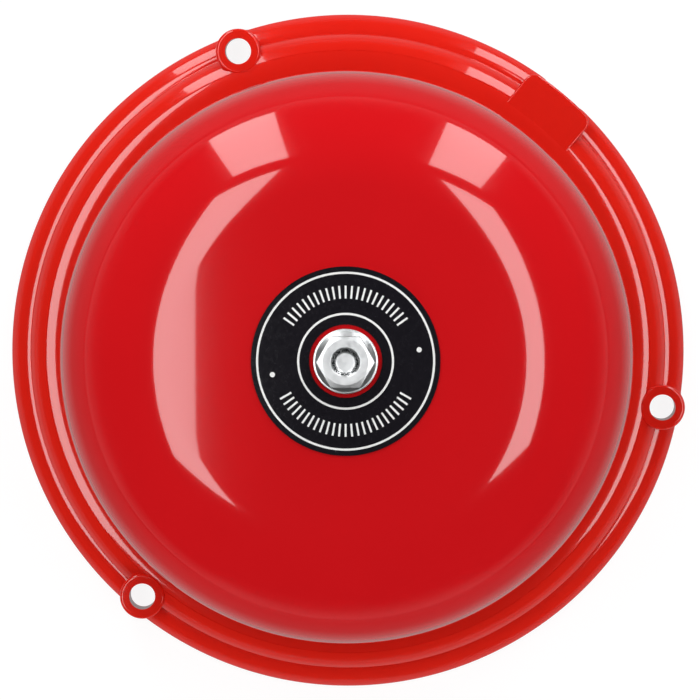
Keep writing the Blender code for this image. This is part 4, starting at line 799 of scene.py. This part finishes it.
def base_details():
    """What is joined to the drum: lugs, hood, ribs, post boss, motor collar and block seat."""
    lug_profile = [(0, LUG_HEIGHT, 0), (LUG_RADIUS, LUG_HEIGHT, LUG_EDGE_ROUND),
                   (LUG_RADIUS, 2 * WALL_SIDE, 0), (0, 2 * WALL_SIDE, 0)]
    joined = [at(turned(lug_profile), round_about(LUG_PITCH_RADIUS, angle)) for angle in LUG_ANGLES]
    joined += [at(lug_blend(side), (0, 0, 0), angle) for angle in LUG_ANGLES for side in (1, -1)]
    joined.append(cable_hood())
    rib_start = BOSS_RADIUS - RIB_SINK
    rib_end = DRUM_RADIUS - BASE_WALL / 2
    rib_height = RIB_DEPTH + DECK_THICKNESS / 2
    for angle in RIB_ANGLES:
        rib = block((rib_end - rib_start, RIB_THICKNESS, rib_height),
                    ((rib_start + rib_end) / 2, 0, DECK_UNDERSIDE - RIB_DEPTH + rib_height / 2))
        joined.append(at(rib, (0, 0, 0), angle))
    sunk = DECK_UNDERSIDE + DECK_THICKNESS / 2
    joined.append(peg(BOSS_RADIUS, BOSS_UNDERSIDE, sunk))
    bore = CAN_RADIUS + SEAT_GAP
    collar_foot = DECK_UNDERSIDE - COLLAR_DEPTH
    collar = turned([(bore, sunk, 0), (bore + COLLAR_WALL, sunk, 0),
                     (bore + COLLAR_WALL, collar_foot, COLLAR_ROUND),
                     (bore, collar_foot, COLLAR_ROUND)], closed=True)
    joined.append(at(collar, middle("motor_can")))
    low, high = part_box("terminal_body")
    seat = block((high[0] - low[0], high[1] - low[1], BLOCK_SEAT_HEIGHT),
                 (0, 0, high[2] + SEAT_GAP + BLOCK_SEAT_HEIGHT / 2))
    joined.append(at(seat, middle("terminal_body")))
    return joined


def base_hollows():
    """What is cut from the base: the hood's hollow and mouth, the holes, and all past hood and wall."""
    plan = hood_plan(HOOD_WIDTH / 2 - BASE_WALL, HOOD_INNER - HOOD_HOLLOW_REACH,
                     HOOD_RADIUS - BASE_WALL, 0)
    cut = [raised(plan, 4 * WALL_SIDE, HOOD_ROOF_UNDERSIDE), *cable_slot()]
    top = DECK_TOP + MM
    foot = BOSS_UNDERSIDE - MM
    cut.append(peg(STUD_HOLE_RADIUS, foot, top))
    cut.append(at(peg(CAN_NOSE_RADIUS + SEAT_GAP, foot, top), middle("motor_can")))
    cut += [at(peg(MOTOR_SCREW_HOLE_RADIUS, foot, top), middle(node)) for node in MOTOR_SCREWS]
    # Turned by half a facet, so that no facet of a hole lies along one of its lug
    cut += [at(peg(LUG_HOLE_RADIUS, 6 * WALL_SIDE, top), round_about(LUG_PITCH_RADIUS, angle),
               pi / SMALL_STEPS) for angle in LUG_ANGLES]
    cut.append(block((2 * HOOD_WIDTH, 2 * MM, 3 * HOOD_TOP), (0, HOOD_RADIUS + MM, 0)))
    cut.append(block((3 * BASE_RADIUS, 3 * BASE_RADIUS, 6 * MM), (0, 0, -3 * MM)))
    return cut


def moulded_base():
    """Drum, flange, lugs, hood, ribs and bosses in one moulding, with its hollows and holes."""
    return carved(base_drum(), base_details(), base_hollows())


def gong_post():
    """Pillar under the gong: a tapped bore above, a foot flange and a threaded stud below."""
    foot, top = levels("gong_post")
    flange_foot = DECK_TOP + SEAT_GAP
    flange_top = flange_foot + POST_FLANGE_THICKNESS
    bore = BOLT_RADIUS + SEAT_GAP
    bore_bottom = BOLT_SEAT - BOLT_LENGTH - POST_BORE_SPARE
    root = STUD_RADIUS - THREAD_DEPTH
    thread = []
    level = foot + THREAD_START
    while level < BOSS_UNDERSIDE:
        thread = [(STUD_RADIUS, level + THREAD_PITCH / 2, 0), (root, level, 0)] + thread
        level += THREAD_PITCH
    return turned([
        (0, bore_bottom, 0),
        (bore, bore_bottom, 0),
        (bore, top, 0.2 * MM),
        (POST_RADIUS - POST_CHAMFER, top, 0),
        (POST_RADIUS, top - POST_CHAMFER, 0),
        (POST_RADIUS, flange_top, POST_FLANGE_ROUND),
        (POST_FLANGE_RADIUS, flange_top, POST_FLANGE_ROUND),
        (POST_FLANGE_RADIUS, flange_foot, 0.2 * MM),
        (STUD_RADIUS, flange_foot, 0),
        *thread,
        (root, foot, 0),
        (0, foot, 0),
    ])


def washer(node, inner):
    """A flat stamped ring with one rounded edge."""
    low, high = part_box(node)
    outer = (high[0] - low[0]) / 2
    return turned([(inner, low[2], 0.1 * MM), (inner, high[2], 0), (outer, high[2], 0.1 * MM),
                   (outer, low[2], 0.25 * MM)], closed=True)


def post_nut():
    """Hexagon nut with both faces chamfered and its bore countersunk."""
    bottom, top = levels("post_nut")
    corner = hex_corner(NUT_ACROSS) + HEX_SPARE
    shape = turned([
        (STUD_HOLE_RADIUS, top - NUT_SINK, 0),
        (STUD_HOLE_RADIUS + NUT_SINK, top, 0),
        (corner - 2 * NUT_CHAMFER, top, 0.2 * MM),
        (corner, top - NUT_CHAMFER, 0),
        (corner, bottom + NUT_CHAMFER, 0),
        (corner - 2 * NUT_CHAMFER, bottom, 0.2 * MM),
        (STUD_HOLE_RADIUS + NUT_SINK, bottom, 0),
        (STUD_HOLE_RADIUS, bottom + NUT_SINK, 0),
    ], HEX_STEPS, closed=True)
    return six_flats(shape, NUT_ACROSS, 0)


def motor_can():
    """Drawn steel can with a bearing nose, staked at four places round its open end."""
    back, nose = levels("motor_can")
    face = nose - CAN_NOSE_HEIGHT
    inner = CAN_RADIUS - CAN_WALL
    shape = turned([
        (BUSH_HOLE_RADIUS, nose, 0.15 * MM),
        (CAN_NOSE_RADIUS, nose, 0.3 * MM),
        (CAN_NOSE_RADIUS, face, 0.4 * MM),
        (CAN_RADIUS, face, 0.8 * MM),
        (CAN_RADIUS, back, 0.35 * MM),
        (inner, back, 0.15 * MM),
        (inner, face - CAN_WALL, 0.4 * MM),
        (BUSH_HOLE_RADIUS, face - CAN_WALL, 0),
    ], CAN_STEPS, closed=True)
    axis = middle("motor_can")
    cut = [at(peg(MOTOR_SCREW_HOLE_RADIUS, face - 3 * MM, face + MM), middle(node) - axis)
           for node in MOTOR_SCREWS]
    for quarter in range(4):
        stake = block(STAKE_SIZE, (CAN_RADIUS - STAKE_INSET, 0, back))
        cut.append(at(stake, (0, 0, 0), pi / 4 + quarter * pi / 2))
    return at(carved(shape, cut=cut), axis)


def motor_end_cap():
    """Moulded cap with a sunk ring round its bush and a slot for each tab."""
    back, top = levels("motor_end_cap")
    sunk = back + CAP_SINK
    shape = turned([
        (CAP_BORE_RADIUS, top, 0),
        (CAP_RADIUS, top, 0.1 * MM),
        (CAP_RADIUS, back, 0.2 * MM),
        (CAP_SINK_TOP[0], back, 0.15 * MM),
        (CAP_SINK_FLOOR[0], sunk, 0.15 * MM),
        (CAP_SINK_FLOOR[1], sunk, 0.15 * MM),
        (CAP_SINK_TOP[1], back, 0.15 * MM),
        (CAP_BORE_RADIUS, back, 0.2 * MM),
    ], CAN_STEPS, closed=True)
    slots = [block(TAB_SLOT_SIZE, (side * TAB_RADIUS, 0, top)) for side in (-1, 1)]
    return at(carved(shape, cut=slots), middle("motor_end_cap"))


def slotted_screw(node, seat, head_end):
    """A screw along Z whose slotted head lies between a seat and an end."""
    low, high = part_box(node)
    head = (high[0] - low[0]) / 2
    tip = high[2] if head_end < seat else low[2]
    shape = turned([
        (0, tip, 0),
        (SCREW_SHANK_RADIUS, tip, 0.2 * MM),
        (SCREW_SHANK_RADIUS, seat, 0),
        (head, seat, 0.1 * MM),
        (head, head_end, 0.35 * MM),
        (0, head_end, 0),
    ])
    slot = block((3 * head, SCREW_SLOT_WIDTH, 2 * SCREW_SLOT_DEPTH), (0, 0, head_end))
    return at(carved(shape, cut=[slot]), middle(node))


def terminal_body():
    """Moulded block with wells for its clamp screws, barrel holes and a groove between its poles."""
    low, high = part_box("terminal_body")
    half_x = (high[0] - low[0]) / 2
    half_y = (high[1] - low[1]) / 2
    shape = block((2 * half_x, 2 * half_y, high[2] - low[2]), (0, 0, (high[2] + low[2]) / 2))
    uprights = [edge for edge in shape.edges if edge.verts[0].co.xy == edge.verts[1].co.xy]
    soften(shape, uprights, BLOCK_CORNER_ROUND, 6)
    soften(shape, sharp_edges(shape, low[2]), BLOCK_EDGE_ROUND, 4)
    axis = middle("terminal_body")
    below = low[2] - MM
    cut = [at(peg(WELL_RADIUS, below, BARREL_LEVEL, WELL_STEPS),
              middle(f"terminal_screw_{number}") - axis) for number in range(1, 5)]
    cut.append(peg(FIXING_HOLE_RADIUS, below, high[2] + MM, WELL_STEPS))
    for number in (1, 2):
        hole = laid(peg(BARREL_HOLE_RADIUS, -2 * half_y, 2 * half_y, WELL_STEPS), "X")
        cut.append(at(hole, middle(f"terminal_barrel_{number}") - axis + BARREL_LEVEL * UP))
    cut.append(block((BLOCK_GROOVE_WIDTH, 3 * half_y, 2 * BLOCK_GROOVE_DEPTH), (0, 0, low[2])))
    return at(carved(shape, cut=cut), axis)


def lead(side):
    """Sleeved wire along its route, as a smooth tube whose bends follow the points before and after."""
    points = [Vector((side * x, y, z)) * MM for x, y, z in LEAD_ROUTE]
    ahead = points[1:] + [2 * points[-1] - points[-2]]
    behind = [2 * points[0] - points[1]] + points[:-1]
    curve = bpy.data.curves.new("lead_route", "CURVE")
    curve.dimensions = "3D"
    curve.bevel_depth = LEAD_RADIUS
    curve.bevel_resolution = 6
    curve.resolution_u = 14
    curve.use_fill_caps = True
    spline = curve.splines.new("BEZIER")
    spline.bezier_points.add(len(points) - 1)
    for knot, here, before, after in zip(spline.bezier_points, points, behind, ahead):
        knot.co = here
        knot.handle_left = here - (after - before) / 6
        knot.handle_right = here + (after - before) / 6
    route = placed("lead_route", curve)
    built = route.evaluated_get(bpy.context.evaluated_depsgraph_get())
    mesh = bpy.data.meshes.new_from_object(built)
    bpy.data.objects.remove(route, do_unlink=True)
    shape = bmesh.new()
    shape.from_mesh(mesh)
    return closed_up(shape)


def suppressor_disc():
    """Dipped disc with a full round edge."""
    bottom, top = levels("suppressor")
    shape = turned([(0, top, 0), (DISC_RADIUS, top, DISC_ROUND), (DISC_RADIUS, bottom, DISC_ROUND),
                    (0, bottom, 0)])
    return at(shape, middle("suppressor"))


def suppressor_legs():
    """Wire legs from the disc to the tabs."""
    bottom, top = levels("suppressor")
    reach = TAB_RADIUS - LEG_END_GAP
    shape = turned([(0, reach, 0), (LEG_RADIUS, reach, 0.1 * MM), (LEG_RADIUS, -reach, 0.1 * MM),
                    (0, -reach, 0)], LEG_STEPS)
    return at(laid(shape, "Y"), middle("suppressor") + (bottom + top) / 2 * UP)


# Screws: their names here and in the CAD part, the levels of their seats and of the ends of their heads
SCREWS = (
    *((f"clamp_screw_{number}", f"terminal_screw_{number}", 14.2 * MM, 12.8 * MM)
      for number in range(1, 5)),
    ("block_screw", "terminal_fixing_screw", 10.9 * MM, 9.7 * MM),
    *((f"can_screw_{number}", f"motor_screw_{number}", 23.8 * MM, 25.0 * MM) for number in (1, 2)),
)

show("pressed_gong", pressed_gong(), ENAMEL, "red_enamel", "gong")
show("crown_label", crown_label(), FILM, "black_film", "gong_label")
show("flange_bolt", flange_bolt(), FORGED_ZINC, "zinc", "gong_bolt")
show("moulded_base", moulded_base(), ABS, "red_plastic", "base")
show("threaded_post", gong_post(), STEEL, "steel", "gong_post")
show("stamped_washer", washer("post_washer", STUD_HOLE_RADIUS), ZINC, "zinc", "post_washer")
show("hexagon_nut", post_nut(), ZINC, "zinc", "post_nut")
show("drawn_can", motor_can(), DRAWN_STEEL, "steel", "motor_can")
show("moulded_end_cap", motor_end_cap(), PHENOLIC, "black_plastic", "motor_end_cap")
show("moulded_terminal_body", terminal_body(), POLYAMIDE, "white_polyamide", "terminal_body")
for name, node, seat, head_end in SCREWS:
    show(name, slotted_screw(node, seat, head_end), ZINC, "zinc", node)
show("red_lead", lead(-1), RED_SLEEVE, "red_sleeve", "lead_red")
show("black_lead", lead(1), BLACK_SLEEVE, "black_sleeve", "lead_black")
show("suppressor_disc", suppressor_disc(), DIPPED_CERAMIC, "ochre_ceramic", "suppressor")
show("suppressor_legs", suppressor_legs(), TINNED_WIRE, "zinc")

# Pieces that are as fine in the CAD part as they need to be keep their shape and get their finish
CAD_FINISHES = (
    (FIBRE, ("gong_washer", "motor_pad")),
    (FERRITE, ("motor_magnet",)),
    (BRONZE, ("motor_front_bush", "motor_rear_bush")),
    (BRASS, ("motor_brush_1", "motor_brush_2", "terminal_barrel_1", "terminal_barrel_2")),
    (STEEL, ("motor_shaft", "armature_core", "hammer_1", "hammer_2")),
    (COPPER, ("armature_coil_1", "armature_coil_2", "armature_coil_3", "commutator")),
    (ACETAL, ("hammer_carrier",)),
    (ZINC, ("hammer_pin_1", "hammer_pin_2")),
)
for finish, names in CAD_FINISHES:
    for name in names:
        bell[name].data.materials.clear()
        bell[name].data.materials.append(finish)

# Studio: two soft boxes on the ceiling, two on the wall behind, low fills all round that gloss does not
# mirror, one box below for views of the back, a white table and a dim room
CEILING = 0.60
BACK_WALL = 0.47
STRIP_FRONT = -0.19
STRIP_BACK = 0.35
LEFT_STRIP = (-0.305, -0.132)
RIGHT_STRIP = (0.192, 0.357)
LEFT_PANEL = (-0.310, -0.144)
RIGHT_PANEL = (0.204, 0.384)
PANEL_FOOT = 0.116
PANEL_TOP = 0.615
BOX_RADIANCE = 4.0
FILL_DISTANCE = 1.0
FILL_HALF = 0.6
FILL_FOOT = 0.02
FILL_TOP = 0.3
FILLS = (("front", -PICTURE_UP, 5.2), ("back", PICTURE_UP, 3.0), ("left", -PICTURE_RIGHT, 3.0),
         ("right", PICTURE_RIGHT, 2.6))
UNDER_RADIANCE = 1.8
UNDER_LEVEL = -0.8
UNDER_HALF = 0.6
TABLE_HALF = 12.0
TABLE_DROP = 0.3 * MM
# The table glows for the eye, a little less near the bell, where the lamps add the rest and the shadow
# shows. In gloss it is pale only near the bell.
GLOW_START, GLOW_END = 200 * MM, 400 * MM
GLOW_NEAR, GLOW_FAR = 0.9, 1.0
GLOSS_START, GLOSS_END = 80 * MM, 130 * MM
GLOSS_NEAR, GLOSS_FAR = 0.25, 0.05
# The sines of height between which the pale horizon fades, and the light of horizon and ceiling
FADE_START, FADE_END = 0.02, 0.2
HORIZON_LIGHT, CEILING_LIGHT = 0.4, 0.03


def aim(obj, place, right, back):
    """Sets a lamp or camera at a place by the directions of its right and its back."""
    turned_to = Matrix((right, back.cross(right), back)).transposed().to_4x4()
    obj.matrix_world = Matrix.Translation(place) @ turned_to


def soft_box(name, corner, across, along, facing, radiance, mirrored=True):
    """A rectangular light of even radiance, from a corner along two sides, seen in gloss or not."""
    lamp = bpy.data.lights.new(name, "AREA")
    lamp.shape = "RECTANGLE"
    lamp.size = across.length
    lamp.size_y = along.length
    lamp.energy = 4 * radiance * lamp.size * lamp.size_y
    obj = placed(name, lamp)
    obj.visible_camera = False
    obj.visible_glossy = mirrored
    aim(obj, corner + (across + along) / 2, across.normalized(), -facing.normalized())


for side, (start, end) in (("left", LEFT_STRIP), ("right", RIGHT_STRIP)):
    soft_box(f"{side}_ceiling_box", in_picture(start, STRIP_FRONT, CEILING),
             in_picture(end - start, 0, 0), in_picture(0, STRIP_BACK - STRIP_FRONT, 0), -UP,
             BOX_RADIANCE)
for side, (start, end) in (("left", LEFT_PANEL), ("right", RIGHT_PANEL)):
    soft_box(f"{side}_wall_box", in_picture(start, BACK_WALL, PANEL_FOOT),
             in_picture(end - start, 0, 0), in_picture(0, 0, PANEL_TOP - PANEL_FOOT), -PICTURE_UP,
             BOX_RADIANCE)
for side, way, radiance in FILLS:
    across = UP.cross(way) * FILL_HALF
    soft_box(f"{side}_fill", way * FILL_DISTANCE + FILL_FOOT * UP - across, 2 * across,
             (FILL_TOP - FILL_FOOT) * UP, -way, radiance, mirrored=False)
soft_box("under_box", in_picture(-UNDER_HALF, -UNDER_HALF, UNDER_LEVEL),
         in_picture(2 * UNDER_HALF, 0, 0), in_picture(0, 2 * UNDER_HALF, 0), UP, UNDER_RADIANCE)


def white_table():
    """Plain floor: white to the eye, pale in gloss, clear from below, with the bell's shadow on it."""
    shape = bmesh.new()
    bmesh.ops.create_grid(shape, x_segments=8, y_segments=8, size=TABLE_HALF,
                          matrix=Matrix.Translation((0, 0, -TABLE_DROP)))
    obj = blank("white_table", shape)
    material = bpy.data.materials.new("white_table_paper")
    material.use_nodes = True
    tree = material.node_tree
    tree.nodes.clear()
    ray = add(tree, "LightPath")
    bounced = calc(tree, "MAXIMUM", ray.outputs["Is Glossy Ray"], ray.outputs["Is Transmission Ray"])
    spot = add(tree, "TexCoord")
    away = add(tree, "VectorMath", {0: spot.outputs["Object"]}, operation="LENGTH")
    pool = add(tree, "MapRange", {0: away.outputs["Value"], 1: GLOSS_START, 2: GLOSS_END,
                                  3: GLOSS_NEAR, 4: GLOSS_FAR})
    in_gloss = calc(tree, "MULTIPLY", bounced, pool)
    white = add(tree, "MapRange", {0: away.outputs["Value"], 1: GLOW_START, 2: GLOW_END,
                                   3: GLOW_NEAR, 4: GLOW_FAR})
    strength = calc(tree, "MULTIPLY_ADD", ray.outputs["Is Camera Ray"], white, in_gloss)
    paper = add(tree, "BsdfDiffuse", {"Color": linear("696969")})
    glow = add(tree, "Emission", {"Strength": strength})
    both = add(tree, "AddShader", {0: paper, 1: glow})
    clear = add(tree, "BsdfTransparent")
    facing = add(tree, "NewGeometry")
    mix = add(tree, "MixShader", {0: facing.outputs["Backfacing"], 1: both, 2: clear})
    add(tree, "OutputMaterial", {"Surface": mix})
    obj.data.materials.append(material)
    obj.visible_shadow = False


white_table()


def dim_room():
    """World: white to the camera, a pale horizon and a dim ceiling for everything else."""
    world = bpy.data.worlds.new("dim_room")
    bpy.context.scene.world = world
    world.use_nodes = True
    tree = world.node_tree
    tree.nodes.clear()
    ray = add(tree, "LightPath")
    way = add(tree, "TexCoord")
    height = add(tree, "SeparateXYZ", {0: way.outputs["Generated"]})
    pale = add(tree, "MapRange", {0: height.outputs["Z"], 1: FADE_START, 2: FADE_END,
                                  3: HORIZON_LIGHT, 4: CEILING_LIGHT})
    level = calc(tree, "MAXIMUM", pale, ray.outputs["Is Camera Ray"])
    sky = add(tree, "Background", {"Strength": level})
    add(tree, "OutputWorld", {"Surface": sky})


dim_room()

# Camera almost straight above, a little towards the top of the picture
CAMERA_PLACE = in_picture(0.00999, 0.04783, 1.4)
CAMERA_AIM = in_picture(0.000383, 0.000085, 0.0008)
CAMERA_LENS = 402.6
camera_data = bpy.data.cameras.new("camera")
camera_data.sensor_width = 36
camera_data.lens = CAMERA_LENS
camera_data.clip_start = 0.05
camera_data.clip_end = 50
camera = placed("camera", camera_data)
camera_back = (CAMERA_PLACE - CAMERA_AIM).normalized()
aim(camera, CAMERA_PLACE, PICTURE_UP.cross(camera_back).normalized(), camera_back)
bpy.context.scene.camera = camera
bpy.context.scene.view_settings.view_transform = "Standard"
